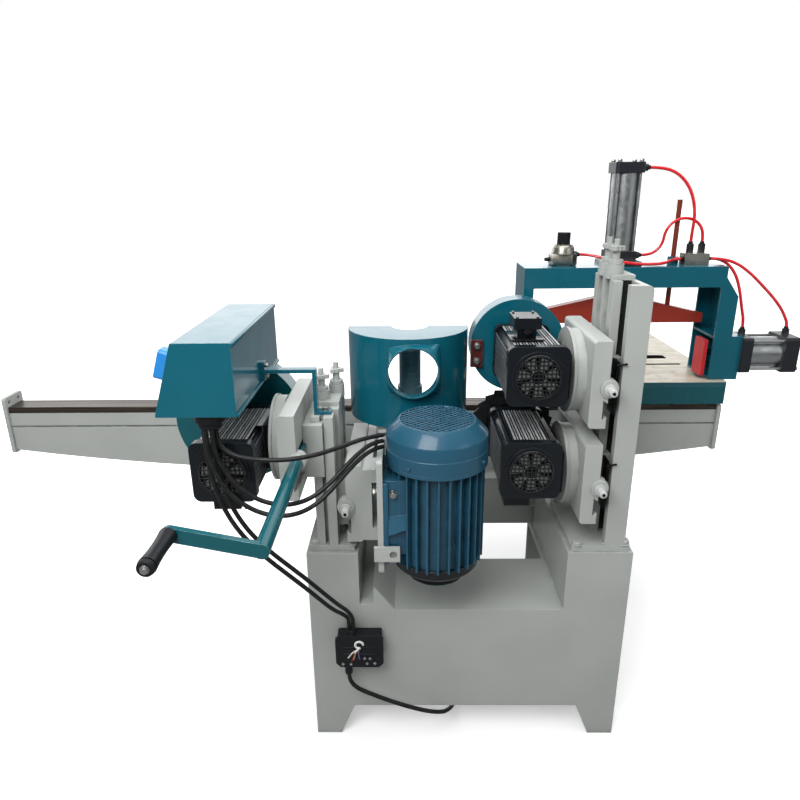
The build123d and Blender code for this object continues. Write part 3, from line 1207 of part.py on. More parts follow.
# Junction box on the base's front, with a gland above and one below
junction_y = -half_d - JUNCTION_D
with BuildPart() as junction:
    with BuildSketch(at_y(-half_d)):
        with Locations((JUNCTION_X, JUNCTION_Z)):
            RectangleRounded(JUNCTION_W - 2 * SHEET, JUNCTION_H - 2 * SHEET, PLATE)
    extrude(amount=JUNCTION_D)
    with BuildSketch(at_y(junction_y + JUNCTION_LID)):
        with Locations((JUNCTION_X, JUNCTION_Z)):
            RectangleRounded(JUNCTION_W, JUNCTION_H, PLATE)
    extrude(amount=JUNCTION_LID)
    gland_y = -half_d - LEAD_Y_IN_BOX
    top_z = JUNCTION_Z + JUNCTION_H / 2 - 2 * SHEET
    bar_z(top_z, top_z + JUNCTION_GLAND_L, LEAD_IN_X, gland_y, JUNCTION_GLAND_R)
    low_z = JUNCTION_Z - JUNCTION_H / 2 + 2 * SHEET
    bar_z(low_z - JUNCTION_GLAND_L, low_z, SUPPLY_OUT_X, gland_y, JUNCTION_GLAND_R)
save(junction.part, "junction_box")

# Rail: fish-bellied beam with a tunnel along it, pads on the shelf and end plates
rail_back = RAIL_FRONT + RAIL_D
rail_mid_x = (RAIL_X0 + RAIL_X1) / 2
with BuildPart() as rail:
    with BuildSketch(at_y(rail_back)):
        with BuildLine():
            Polyline((RAIL_X1, RAIL_END_Z), (RAIL_X1, RAIL_TOP), (RAIL_X0, RAIL_TOP), (RAIL_X0, RAIL_END_Z))
            ThreePointArc((RAIL_X0, RAIL_END_Z), (rail_mid_x, RAIL_MID_Z), (RAIL_X1, RAIL_END_Z))
        make_face()
    extrude(amount=RAIL_D)
    for pad_x in (-RAIL_PAD_X, RAIL_PAD_X):
        block(pad_x - RAIL_PAD_W / 2, pad_x + RAIL_PAD_W / 2, RAIL_FRONT, rail_back, BASE_H, RAIL_END_Z)
    block(RAIL_X0, RAIL_X1, RAIL_FRONT, RAIL_FRONT + RAIL_GROOVE, RAIL_GROOVE_Z, RAIL_GROOVE_Z + RAIL_GROOVE,
          mode=Mode.SUBTRACT)
    tunnel_y = RAIL_FRONT + (RAIL_D - RAIL_TUNNEL_W) / 2
    block(RAIL_X0 - END_PLATE_T, RAIL_X1 + END_PLATE_T, tunnel_y, tunnel_y + RAIL_TUNNEL_W, RAIL_TUNNEL_Z0,
          RAIL_TUNNEL_Z1, mode=Mode.SUBTRACT)
    end_plates = ((RAIL_X0 - END_PLATE_T - SEAM, END_PLATE_Z1), (RAIL_X1 + SEAM, END_PLATE_LOW_Z1))
    for plate_x, plate_top in end_plates:
        with BuildSketch(at_x(plate_x)):
            with Locations((RAIL_FRONT + RAIL_D / 2, (END_PLATE_Z0 + plate_top) / 2)):
                RectangleRounded(RAIL_D + 2 * PLATE, plate_top - END_PLATE_Z0, PLATE)
            with Locations((RAIL_FRONT + RAIL_D / 2, plate_top - 2 * PLATE)):
                with GridLocations(END_PLATE_HOLE_PITCH, 0, 2, 1):
                    Circle(END_PLATE_HOLE_R, mode=Mode.SUBTRACT)
        extrude(amount=END_PLATE_T)
save(rail.part, "rail_beam")

# Guide strip on top of the rail
with BuildPart() as guide:
    block(RAIL_X0, RAIL_X1, RAIL_FRONT, rail_back, RAIL_TOP, RAIL_TOP + GUIDE_H)
    fillet(guide.edges().filter_by(Axis.X).group_by(Axis.Z)[-1], radius=SHEET)
save(guide.part, "rail_guide")

# Table top with its slot, window and stop holes
with BuildPart() as table_top:
    with BuildSketch(at_z(TABLE_Z - TABLE_T)):
        with Locations(((TABLE_X0 + TABLE_X1) / 2, (TABLE_Y0 + TABLE_Y1) / 2)):
            RectangleRounded(TABLE_X1 - TABLE_X0, TABLE_Y1 - TABLE_Y0, TABLE_CORNER)
        with Locations(((TSLOT_X0 + TSLOT_X1) / 2, TSLOT_Y)):
            Rectangle(TSLOT_X1 - TSLOT_X0, TSLOT_W, mode=Mode.SUBTRACT)
        with Locations((WINDOW_X, WINDOW_Y)):
            RectangleRounded(WINDOW_W, WINDOW_D, PLATE, mode=Mode.SUBTRACT)
        with Locations((STOP_HOLE_X, STOP_HOLE_Y)):
            with GridLocations(STOP_PITCH, 0, STOP_HOLES, 1):
                Circle(STOP_HOLE_R, mode=Mode.SUBTRACT)
    extrude(amount=TABLE_T)
save(table_top.part, "table_top")

# Table carriage: apron frame, ribs and the hanger behind the rail
under = TABLE_Z - TABLE_T
apron_z = under - APRON_H
guide_top = RAIL_TOP + GUIDE_H
with BuildPart() as carriage:
    with BuildSketch(at_z(apron_z)):
        with Locations(((TABLE_X0 + TABLE_X1) / 2, (TABLE_Y0 + TABLE_Y1) / 2)):
            RectangleRounded(TABLE_X1 - TABLE_X0, TABLE_Y1 - TABLE_Y0, TABLE_CORNER)
            offset(amount=-APRON_T, kind=Kind.INTERSECTION, mode=Mode.SUBTRACT)
    extrude(amount=APRON_H)
    # Ribs under the top, on both sides of the slot
    for rib_y in (TSLOT_Y - 2 * TSLOT_W, TSLOT_Y + 2 * TSLOT_W, WINDOW_Y + WINDOW_D):
        block(TABLE_X0 + APRON_T - RUN, TABLE_X1 - APRON_T + RUN, rib_y - APRON_T / 2, rib_y + APRON_T / 2,
              under - APRON_H / 2, under)
    block(TABLE_X0 + APRON_T - RUN, TABLE_X1 - APRON_T + RUN, HANGER_Y, HANGER_Y + HANGER_T, HANGER_Z0, under)
save(carriage.part, "table_carriage")

# Guide shoes: two under the top, lipped over the guide, and two on the hanger behind the rail
lip_front = RAIL_FRONT - RUN - SHOE_LIP
with BuildPart() as shoes:
    for x in (TABLE_X0 + SHOE_L, TABLE_X1 - SHOE_L):
        block(x - SHOE_L / 2, x + SHOE_L / 2, lip_front, rail_back, guide_top + RUN, under)
        block(x - SHOE_L / 2, x + SHOE_L / 2, lip_front, RAIL_FRONT - RUN,
              guide_top - SHOE_LIP, guide_top + 2 * RUN)
        block(x - SHOE_L / 2, x + SHOE_L / 2, rail_back + RUN, HANGER_Y, REAR_SHOE_Z - REAR_SHOE_H / 2,
              REAR_SHOE_Z + REAR_SHOE_H / 2)
save(shoes.part, "guide_shoes")

# Portal: two plates in the portal's outline, joined by an outer web
with BuildPart() as portal:
    outline_y([
        (PORTAL_X0, TABLE_Z), (PORTAL_X0, PORTAL_TOP), (PORTAL_BEAM_X1, PORTAL_TOP),
        (PORTAL_BEAM_X1, PORTAL_CHAMFER_Z), (PORTAL_SHOULDER_X, PORTAL_SHOULDER_Z),
        (PORTAL_SHOULDER_X, PORTAL_KNEE_Z), (PORTAL_OUT, PORTAL_KNEE_Z), (PORTAL_OUT, TABLE_Z),
        (PORTAL_LEG_R_IN, TABLE_Z), (PORTAL_LEG_R_IN, PORTAL_UNDER), (PORTAL_LEG_X, PORTAL_UNDER),
        (PORTAL_LEG_X, TABLE_Z)], PORTAL_Y0, PORTAL_Y1)
    outline_y([
        (PORTAL_X0 + PORTAL_WALL, TABLE_Z + PORTAL_WALL), (PORTAL_X0 + PORTAL_WALL, PORTAL_TOP - PORTAL_WALL),
        (PORTAL_BEAM_X1 - PORTAL_WALL, PORTAL_TOP - PORTAL_WALL),
        (PORTAL_BEAM_X1 - PORTAL_WALL, PORTAL_CHAMFER_Z - PORTAL_WALL / 2),
        (PORTAL_SHOULDER_X - PORTAL_WALL, PORTAL_SHOULDER_Z - PORTAL_WALL / 2),
        (PORTAL_SHOULDER_X - PORTAL_WALL, PORTAL_KNEE_Z - PORTAL_WALL),
        (PORTAL_OUT - PORTAL_WALL, PORTAL_KNEE_Z - PORTAL_WALL),
        (PORTAL_OUT - PORTAL_WALL, TABLE_Z + PORTAL_WALL)],
        PORTAL_Y0 + PORTAL_WALL, PORTAL_Y1 - PORTAL_WALL, mode=Mode.SUBTRACT)
    # Shelf in the right leg above the side clamp's rod
    block(PORTAL_LEG_R_IN, PORTAL_OUT - PORTAL_WALL, PORTAL_Y0 + PORTAL_WALL, PORTAL_Y1 - PORTAL_WALL,
          PORTAL_KNEE_Z - PORTAL_WALL, PORTAL_KNEE_Z)
    bar_z(PORTAL_TOP - 2 * PORTAL_WALL, PORTAL_TOP + PORTAL_WALL, CLAMP_X, CLAMP_Y, CLAMP_ROD_R + FIT,
          mode=Mode.SUBTRACT)
    bar_z(PORTAL_TOP - RUN, PORTAL_TOP + GUIDE_BUSH_H, GUIDE_X, CLAMP_Y, GUIDE_BUSH_R)
    bar_z(PORTAL_TOP - 2 * PORTAL_WALL, PORTAL_TOP + 2 * GUIDE_BUSH_H, GUIDE_X, CLAMP_Y, GUIDE_R + FIT,
          mode=Mode.SUBTRACT)
    bar_x(PORTAL_OUT - 2 * PORTAL_WALL, PORTAL_OUT + PORTAL_WALL, SIDE_Y, SIDE_Z, SIDE_ROD_R + FIT,
          mode=Mode.SUBTRACT)
save(portal.part, "portal")

# Air cylinders: square caps, round tubes and four tie rods each
tie = CLAMP_CAP / 2 - TIE_INSET
clamp_base = PORTAL_TOP + CLAMP_FLANGE_T
side_tie = SIDE_CAP / 2 - TIE_INSET
with BuildPart() as cylinders:
    with BuildSketch(at_z(PORTAL_TOP)):
        with Locations((CLAMP_X, CLAMP_Y)):
            RectangleRounded(CLAMP_FLANGE, CLAMP_FLANGE, PLATE)
    extrude(amount=CLAMP_FLANGE_T)
    for cap_z in (clamp_base, CLAMP_Z1 - CLAMP_CAP_T):
        with BuildSketch(at_z(cap_z)):
            with Locations((CLAMP_X, CLAMP_Y)):
                RectangleRounded(CLAMP_CAP, CLAMP_CAP, PLATE)
        extrude(amount=CLAMP_CAP_T)
    bar_z(clamp_base, CLAMP_Z1 - RUN, CLAMP_X, CLAMP_Y, CLAMP_TUBE_R)
    for tie_x in (-tie, tie):
        for tie_y in (-tie, tie):
            bar_z(clamp_base + RUN, CLAMP_Z1 - RUN, CLAMP_X + tie_x, CLAMP_Y + tie_y, TIE_R)
    for port_z in (clamp_base + CLAMP_CAP_T / 2, CLAMP_Z1 - CLAMP_CAP_T / 2):
        bar_x(CLAMP_X + tie, CLAMP_X + CLAMP_CAP / 2 + PORT_FITTING_L, CLAMP_Y, port_z, PORT_FITTING_R)
    bar_z(PORTAL_TOP - RUN, CLAMP_ROD_TOP + 2 * PLATE, CLAMP_X, CLAMP_Y, CLAMP_ROD_R + FIT,
          mode=Mode.SUBTRACT)
    for cap_x, cap_t in ((PORTAL_OUT, SIDE_CAP_T), (SIDE_X1 - SIDE_REAR_CAP_T, SIDE_REAR_CAP_T)):
        with BuildSketch(at_x(cap_x)):
            with Locations((SIDE_Y, SIDE_Z)):
                RectangleRounded(SIDE_CAP, SIDE_CAP, PLATE)
        extrude(amount=cap_t)
    bar_x(PORTAL_OUT, SIDE_X1 - RUN, SIDE_Y, SIDE_Z, SIDE_TUBE_R)
    for tie_y in (-side_tie, side_tie):
        for tie_z in (-side_tie, side_tie):
            bar_x(PORTAL_OUT + RUN, SIDE_X1 - RUN, SIDE_Y + tie_y, SIDE_Z + tie_z, TIE_R)
    side_top = SIDE_Z + SIDE_CAP / 2
    for port_x in (PORTAL_OUT + SIDE_CAP_T / 2, SIDE_X1 - SIDE_REAR_CAP_T / 2):
        bar_z(SIDE_Z + side_tie, side_top + PORT_FITTING_L, port_x, SIDE_Y, PORT_FITTING_R)
    bar_x(PORTAL_OUT - RUN, SIDE_ROD_END + PLATE, SIDE_Y, SIDE_Z, SIDE_ROD_R + FIT, mode=Mode.SUBTRACT)
save(cylinders.part, "air_cylinders")

# Clamp beam: tapered to both ends, with its piston rod and guide rod
beam_flat0 = CLAMP_X - BEAM_FLAT / 2
beam_flat1 = CLAMP_X + BEAM_FLAT / 2
with BuildPart() as clamp_beam:
    outline_y([
        (BEAM_X0, BEAM_Z), (BEAM_X1, BEAM_Z), (BEAM_X1, BEAM_Z + BEAM_END_H),
        (beam_flat1, BEAM_Z + BEAM_MID_H), (beam_flat0, BEAM_Z + BEAM_MID_H), (BEAM_X0, BEAM_Z + BEAM_END_H)],
        CLAMP_Y - BEAM_D / 2, CLAMP_Y + BEAM_D / 2)
    bar_z(BEAM_Z + BEAM_END_H, CLAMP_ROD_TOP, CLAMP_X, CLAMP_Y, CLAMP_ROD_R)
    bar_z(BEAM_Z + BEAM_END_H, GUIDE_TOP, GUIDE_X, CLAMP_Y, GUIDE_R)
save(clamp_beam.part, "clamp_beam")

# Side pad on its rod
with BuildPart() as side_pad:
    with BuildSketch(at_x(PAD_X0)):
        with Locations((SIDE_Y, SIDE_Z - PAD_T)):
            RectangleRounded(PAD_W, PAD_H, PAD_T / 2)
    extrude(amount=PAD_T)
    bar_x(PAD_X0 + PAD_T / 2, SIDE_ROD_END, SIDE_Y, SIDE_Z, SIDE_ROD_R)
save(side_pad.part, "side_pad")

# Air unit on the portal: regulator body and valve block with push-in fittings
with BuildPart() as air_unit:
    with BuildSketch(at_z(PORTAL_TOP)):
        with Locations((REGULATOR_X, REGULATOR_Y)):
            RectangleRounded(REGULATOR_W, REGULATOR_W, PLATE)
    extrude(amount=REGULATOR_H)
    bar_z(PORTAL_TOP + REGULATOR_H - RUN, PORTAL_TOP + REGULATOR_H + PLATE, REGULATOR_X, REGULATOR_Y,
          KNOB_STEM_R)
    bar_x(REGULATOR_X, REGULATOR_X + REGULATOR_W / 2 + PORT_FITTING_L, REGULATOR_Y,
          PORTAL_TOP + REGULATOR_H / 2, PORT_FITTING_R)
    with BuildSketch(at_z(PORTAL_TOP)):
        with Locations((VALVE_X, VALVE_Y)):
            RectangleRounded(VALVE_W, VALVE_D, SHEET)
    extrude(amount=VALVE_H)
    for fitting in (-0.5, 0.5):
        bar_z(PORTAL_TOP + VALVE_H - RUN, PORTAL_TOP + VALVE_H + FITTING_H,
              VALVE_X + fitting * FITTING_PITCH, VALVE_Y, FITTING_R)
save(air_unit.part, "air_unit")

# Regulator knob: fluted cap on its stem
with BuildPart() as knob:
    knob_z = PORTAL_TOP + REGULATOR_H + RUN
    with BuildSketch(at_z(knob_z)):
        with Locations((REGULATOR_X, REGULATOR_Y)):
            Circle(KNOB_R)
            with PolarLocations(KNOB_R + SHEET, 12):
                Circle(1.6 * SHEET, mode=Mode.SUBTRACT)
    extrude(amount=KNOB_H)
    bar_z(knob_z - RUN, knob_z + PLATE, REGULATOR_X, REGULATOR_Y, KNOB_STEM_R + FIT, mode=Mode.SUBTRACT)
save(knob.part, "regulator_knob")


def corner_radii(points):
    """Largest arc that two neighbouring runs leave room for, at each corner of a route."""
    radii = []
    for before, corner, after in zip(points, points[1:], points[2:]):
        run_in = Vector(*corner) - Vector(*before)
        run_out = Vector(*after) - Vector(*corner)
        half_turn = math.radians(run_in.get_angle(run_out)) / 2
        radii.append(CORNER_SHARE * min(run_in.length, run_out.length) / math.tan(half_turn))
    return radii


def add_cord(name, points, diameter):
    """Tube along straight runs joined by tangent arcs, inside the open part."""
    radii = corner_radii(points)
    with BuildLine() as route:
        FilletPolyline(*points, radius=radii)
    path = route.wires()[0]
    heading_out = Vector(*points[1]) - Vector(*points[0])
    with BuildSketch(Plane(origin=points[0], z_dir=heading_out)) as section:
        Circle(diameter / 2)
    sweep(section.sketch, path=path)
    print(name, "length", round(path.length), "least radius in diameters", round(min(radii) / diameter, 1),
          "radii", [round(radius) for radius in radii])


# Control leads: three loops to the spindle motor and two leads down to the junction box
LOOP_1 = [
    (-489, -358, 876), (-489, -358, 854), (-479, -360, 833), (-454, -362, 819), (-410, -362, 812),
    (-364, -360, 811), (-318, -350, 814), (-275, -330, 820), (-237, -301, 824), (-208, -275, 823),
    (-186, -255, 818)]
LOOP_2 = [
    (-493, -369, 876), (-493, -369, 848), (-487, -370, 815), (-470, -371, 780), (-441, -372, 748),
    (-402, -372, 727), (-358, -369, 721), (-318, -360, 732), (-285, -344, 754), (-256, -321, 780),
    (-229, -296, 800), (-206, -274, 809), (-186, -255, 806)]
LOOP_3 = [
    (-505, -369, 876), (-505, -369, 846), (-500, -373, 812), (-486, -377, 776), (-461, -380, 742),
    (-426, -381, 716), (-385, -380, 703), (-344, -374, 705), (-308, -362, 721), (-278, -343, 746),
    (-252, -320, 770), (-228, -296, 787), (-206, -274, 795), (-186, -254, 793)]
LEAD_1 = [
    (-512, -358, 876), (-512, -358, 846), (-509, -361, 806), (-502, -364, 762), (-490, -365, 718),
    (-471, -364, 674), (-446, -360, 633), (-416, -352, 592), (-384, -340, 551), (-352, -324, 507),
    (-324, -304, 461), (-301, -282, 419), (-283, -260, 391), (-272.8, -246, 370), (-272.8, -240, 352),
    (-272.8, -240, 336)]
LEAD_2 = [
    (-501, -346, 876), (-501, -346, 846), (-498, -349, 806), (-491, -352, 762), (-479, -353, 718),
    (-461, -352, 676), (-437, -348, 636), (-407, -340, 596), (-375, -328, 556), (-343, -312, 512),
    (-315, -292, 466), (-291, -270, 423), (-273, -252, 394), (-263.2, -245, 371), (-263.2, -240, 352),
    (-263.2, -240, 336)]
LEADS = {"loop 1": LOOP_1, "loop 2": LOOP_2, "loop 3": LOOP_3, "lead 1": LEAD_1, "lead 2": LEAD_2}
with BuildPart() as leads:
    for lead_name, lead_route in LEADS.items():
        add_cord(lead_name, lead_route, LEAD_D)
save(leads.part, "control_leads")

# Supply cable: out of the junction box, along the front and under the base to its coil
SUPPLY = [
    (-277, -240, 212), (-277, -240, 199), (-272, -241, 184), (-261, -242, 171), (-243, -243, 160),
    (-212, -244, 146), (-177, -245, 131), (-141, -245, 117), (-107, -243, 104), (-78, -236, 91),
    (-54, -222, 77), (-38, -199, 63), (-28, -171, 47), (-23, -140, 30), (-21, -107, 15), (-20, -73, 7),
    (-20, -40, 5.2), (-20, -10.1, 5.2)]
with BuildPart() as supply:
    add_cord("supply cable", SUPPLY, SUPPLY_D)
save(supply.part, "supply_cable")

# Supply coil: spirals in on the floor, climbs one layer in a half turn, and spirals out again
coil_inner = COIL_R - COIL_HALF_TURNS * COIL_STEP / 2


def half_turn(centre_x, radius, z, from_left):
    """Points of a clockwise half turn, seen from above, at its start, middle and end."""
    side = -1 if from_left else 1
    start = (centre_x + side * radius, COIL_Y, z)
    middle = (centre_x, COIL_Y - side * radius, z)
    end = (centre_x - side * radius, COIL_Y, z)
    return start, middle, end


layers = []
for step in range(COIL_HALF_TURNS):
    centre_x = COIL_X + (step % 2) * COIL_STEP / 2
    layers.append(half_turn(centre_x, COIL_R - step * COIL_STEP / 2, COIL_Z, step % 2 == 0))
upper_z = COIL_Z + COIL_STEP
for step in range(1, COIL_HALF_TURNS):
    centre_x = COIL_X - (step % 2) * COIL_STEP / 2
    layers.append(half_turn(centre_x, coil_inner + step * COIL_STEP / 2, upper_z, step % 2 == 0))
climb_start = (COIL_X - coil_inner, COIL_Y, COIL_Z)
climb_middle = (COIL_X, COIL_Y + math.hypot(coil_inner, COIL_STEP / 2), COIL_Z + COIL_STEP / 2)
climb_end = (COIL_X + coil_inner, COIL_Y, upper_z)
coil_end = layers[-1][2]
with BuildPart() as coil:
    with BuildLine() as turns:
        Line((COIL_X - COIL_R, COIL_Y - SUPPLY_D, COIL_Z), layers[0][0])
        for turn in layers[:COIL_HALF_TURNS]:
            ThreePointArc(*turn)
        climb = TangentArc(climb_start, climb_middle, tangent=(0, 1, 0))
        TangentArc(climb_middle, climb_end, tangent=climb % 1)
        for turn in layers[COIL_HALF_TURNS:]:
            ThreePointArc(*turn)
        Line(coil_end, (coil_end[0], coil_end[1] + SUPPLY_D, coil_end[2]))
    with BuildSketch(Plane(origin=(COIL_X - COIL_R, COIL_Y - SUPPLY_D, COIL_Z), z_dir=(0, 1, 0))):
        Circle(SUPPLY_D / 2)
    sweep(path=turns.wires()[0])
save(coil.part, "supply_coil")
coil_path = turns.wires()[0]
SAMPLES = 900
samples = [coil_path.position_at(i / SAMPLES) for i in range(SAMPLES + 1)]
skip = int(2 * SUPPLY_D / coil_path.length * SAMPLES) + 1
pairs = [(i, j) for i in range(0, SAMPLES, 3) for j in range(i + skip, SAMPLES + 1)]
least = min((samples[i] - samples[j]).length for i, j in pairs)
print("supply coil length", round(coil_path.length), "least gap to itself", round(least - SUPPLY_D, 2))

# Air hoses: both ports of each cylinder to the valve block, and the regulator to the block
HOSE_TOP = [
    (484.5, 303, 1330), (520.5, 303, 1330), (558, 296, 1318), (587, 285, 1288), (603, 276, 1248),
    (610, 275, 1206), (612, 285, 1169), (612, 285, 1139)]
HOSE_LOW = [
    (484.5, 303, 1109), (510.5, 303, 1109), (533, 302, 1121), (545, 300, 1142), (546, 297, 1168),
    (558, 294, 1191), (580, 291, 1204), (606, 289, 1204), (629, 287, 1191), (642, 285, 1167),
    (642, 285, 1139)]
HOSE_FEED = [
    (315, 285, 1114), (339, 285, 1114), (370, 268, 1109), (406, 247, 1101), (448, 237, 1094),
    (488, 237.5, 1092), (520, 245, 1092), (544, 259, 1094), (562, 273, 1098), (579, 279, 1101), (595, 279, 1101)]
HOSE_NEAR = [
    (659, 292, 1101), (685, 292, 1101), (717, 287, 1089), (741, 279, 1059), (755, 271, 1015), (763, 264, 970),
    (769, 256, 940.5), (769, 256, 915.5)]
HOSE_FAR = [
    (659, 278, 1101), (693, 278, 1101), (732, 270, 1091), (768, 263, 1066), (803, 259, 1034),
    (836, 257, 1002), (864, 257, 971), (881, 257, 943), (886.5, 256, 929.5), (886.5, 256, 915.5)]
HOSES = {"top hose": HOSE_TOP, "low hose": HOSE_LOW, "feed hose": HOSE_FEED, "near hose": HOSE_NEAR,
         "far hose": HOSE_FAR}
with BuildPart() as hoses:
    for hose_name, hose_route in HOSES.items():
        add_cord(hose_name, hose_route, HOSE_D)
save(hoses.part, "air_hoses")
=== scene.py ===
"""Looks of a floor-standing tenoning machine: paints, fasteners, cords, air hoses and a plain studio."""
import math

import bmesh
import bpy
from bpy.props import FloatProperty, FloatVectorProperty, PointerProperty
from mathutils import Matrix, Vector


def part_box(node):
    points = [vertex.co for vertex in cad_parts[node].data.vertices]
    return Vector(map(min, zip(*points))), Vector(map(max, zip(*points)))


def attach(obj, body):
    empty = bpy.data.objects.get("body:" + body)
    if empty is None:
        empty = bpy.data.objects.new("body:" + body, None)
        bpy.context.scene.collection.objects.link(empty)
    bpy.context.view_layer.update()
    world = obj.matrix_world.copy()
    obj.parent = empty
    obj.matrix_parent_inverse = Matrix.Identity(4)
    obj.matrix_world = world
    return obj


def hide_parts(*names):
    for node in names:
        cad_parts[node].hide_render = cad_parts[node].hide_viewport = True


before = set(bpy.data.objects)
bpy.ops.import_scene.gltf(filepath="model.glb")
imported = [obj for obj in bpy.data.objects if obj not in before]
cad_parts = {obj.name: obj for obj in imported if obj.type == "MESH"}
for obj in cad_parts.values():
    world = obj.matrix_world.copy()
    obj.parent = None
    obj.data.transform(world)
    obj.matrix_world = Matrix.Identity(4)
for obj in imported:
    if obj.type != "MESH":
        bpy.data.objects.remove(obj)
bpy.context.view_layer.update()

bl_info = {
    "name": "Tenoning machine",
    "version": (1, 0, 0),
    "blender": (4, 5, 0),
    "location": "View3D > Sidebar > Tenoner",
    "description": "Dresses a packed tenoning machine with paint, fasteners, cords and a studio",
    "category": "Object",
}

MM = 0.001
UP = Vector((0, 0, 1))
DOWN = Vector((0, 0, -1))
FRONT = Vector((0, -1, 0))
BACK = Vector((0, 1, 0))
LEFT = Vector((-1, 0, 0))
RIGHT = Vector((1, 0, 0))


# Cord lengths and routes in millimetres, as in the solid model

CONTROL_LEADS = {
    "loop_lead_top": (375, [
        (-489, -358, 876), (-489, -358, 854), (-479, -360, 833), (-454, -362, 819), (-410, -362, 812),
        (-364, -360, 811), (-318, -350, 814), (-275, -330, 820), (-237, -301, 824), (-208, -275, 823),
        (-186, -255, 818)]),
    "loop_lead_middle": (463, [
        (-493, -369, 876), (-493, -369, 848), (-487, -370, 815), (-470, -371, 780), (-441, -372, 748),
        (-402, -372, 727), (-358, -369, 721), (-318, -360, 732), (-285, -344, 754), (-256, -321, 780),
        (-229, -296, 800), (-206, -274, 809), (-186, -255, 806)]),
    "loop_lead_low": (496, [
        (-505, -369, 876), (-505, -369, 846), (-500, -373, 812), (-486, -377, 776), (-461, -380, 742),
        (-426, -381, 716), (-385, -380, 703), (-344, -374, 705), (-308, -362, 721), (-278, -343, 746),
        (-252, -320, 770), (-228, -296, 787), (-206, -274, 795), (-186, -254, 793)]),
    "junction_lead_outer": (629, [
        (-512, -358, 876), (-512, -358, 846), (-509, -361, 806), (-502, -364, 762), (-490, -365, 718),
        (-471, -364, 674), (-446, -360, 633), (-416, -352, 592), (-384, -340, 551), (-352, -324, 507),
        (-324, -304, 461), (-301, -282, 419), (-283, -260, 391), (-272.8, -246, 370), (-272.8, -240, 352),
        (-272.8, -240, 336)]),
    "junction_lead_inner": (624, [
        (-501, -346, 876), (-501, -346, 846), (-498, -349, 806), (-491, -352, 762), (-479, -353, 718),
        (-461, -352, 676), (-437, -348, 636), (-407, -340, 596), (-375, -328, 556), (-343, -312, 512),
        (-315, -292, 466), (-291, -270, 423), (-273, -252, 394), (-263.2, -245, 371), (-263.2, -240, 352),
        (-263.2, -240, 336)]),
}
SUPPLY_ROUTE = [
    (-277, -240, 212), (-277, -240, 199), (-272, -241, 184), (-261, -242, 171), (-243, -243, 160),
    (-212, -244, 146), (-177, -245, 131), (-141, -245, 117), (-107, -243, 104), (-78, -236, 91),
    (-54, -222, 77), (-38, -199, 63), (-28, -171, 47), (-23, -140, 30), (-21, -107, 15), (-20, -73, 7),
    (-20, -40, 5.2), (-20, -10.1, 5.2)]
COIL_CENTRE = (51, 0)
COIL_OUTER = 71
COIL_STEP = 10.6
COIL_FLOOR = 5.2
COIL_HALF_TURNS = 6
COIL_POINTS = 12     # control points of a half turn
AIR_HOSES = {
    "clamp_hose_top": (272, [
        (484.5, 303, 1330), (520.5, 303, 1330), (558, 296, 1318), (587, 285, 1288), (603, 276, 1248),
        (610, 275, 1206), (612, 285, 1169), (612, 285, 1139)]),
    "clamp_hose_low": (257, [
        (484.5, 303, 1109), (510.5, 303, 1109), (533, 302, 1121), (545, 300, 1142), (546, 297, 1168),
        (558, 294, 1191), (580, 291, 1204), (606, 289, 1204), (629, 287, 1191), (642, 285, 1167),
        (642, 285, 1139)]),
    "feed_hose": (302, [
        (315, 285, 1114), (339, 285, 1114), (370, 268, 1109), (406, 247, 1101), (448, 237, 1094),
        (488, 237.5, 1092), (520, 245, 1092), (544, 259, 1094), (562, 273, 1098), (579, 279, 1101),
        (595, 279, 1101)]),
    "side_hose_near": (247, [
        (659, 292, 1101), (685, 292, 1101), (717, 287, 1089), (741, 279, 1059), (755, 271, 1015),
        (763, 264, 970), (769, 256, 940.5), (769, 256, 915.5)]),
    "side_hose_far": (315, [
        (659, 278, 1101), (693, 278, 1101), (732, 270, 1091), (768, 263, 1066), (803, 259, 1034),
        (836, 257, 1002), (864, 257, 971), (881, 257, 943), (886.5, 256, 929.5), (886.5, 256, 915.5)]),
}


# Places and sizes of the small pieces in millimetres, on the solid model's faces

TABLE_RIM = ("Z", 760, 783.4)
TABLE_SLOT_SHADE = [       # walls of the table's tee slot and window, below its face, painted near black as shade
    [("X", 195.5, 668.5), ("Y", 369.5, 384.5), TABLE_RIM],
    [("X", 557.5, 654.5), ("Y", 439.5, 480.5), TABLE_RIM]]
CYLINDER_CAPS = [("Z", 1096, 1122.5)], [("Z", 1316.5, 1344)], [("X", 755, 782.2)], [("X", 867.8, 910)]

FOOT_TOP = 530       # top of the columns' foot plates
FOOT_BOLTS = [       # x, y and height over all; the slides come down over the inner ones
    (241.5, -197, 7), (346, -196, 12), (241.5, 8, 7), (346, 8, 12),
    (-346, -192, 12), (-262, -192, 3.8), (-346, 8, 12), (-262, 8, 3.8)]
COLUMN_DOWEL = (298.6, -200)
BRACKET_FOOT = (-311, -171, 843)
BRACKET_FOOT_RISE = 7
BRACKET_FLANGE_X = -432
BRACKET_FLANGE_Z = (919, 943)

GIB_X = (289, 295)
GIB_Y = (-199, -163)
GIB_Z = {"upper": (838, 952), "lower": (618, 732)}
GIB_SCREW = 5
GIB_SCREW_SHARES = (0.2, 0.5, 0.8)
LOCK_DROP = 5        # of a lock screw below its gib's top
LOCK_SHANK_R = 2.6
LOCK_SHANK = 13
LOCK_BAR_R = 2.1
LOCK_BAR = 22
LOCK_BAR_OUT = 11
LOCK_BAR_LEFT = 7
LOCK_BAR_AXIS = Vector((1, 0, 0.15))

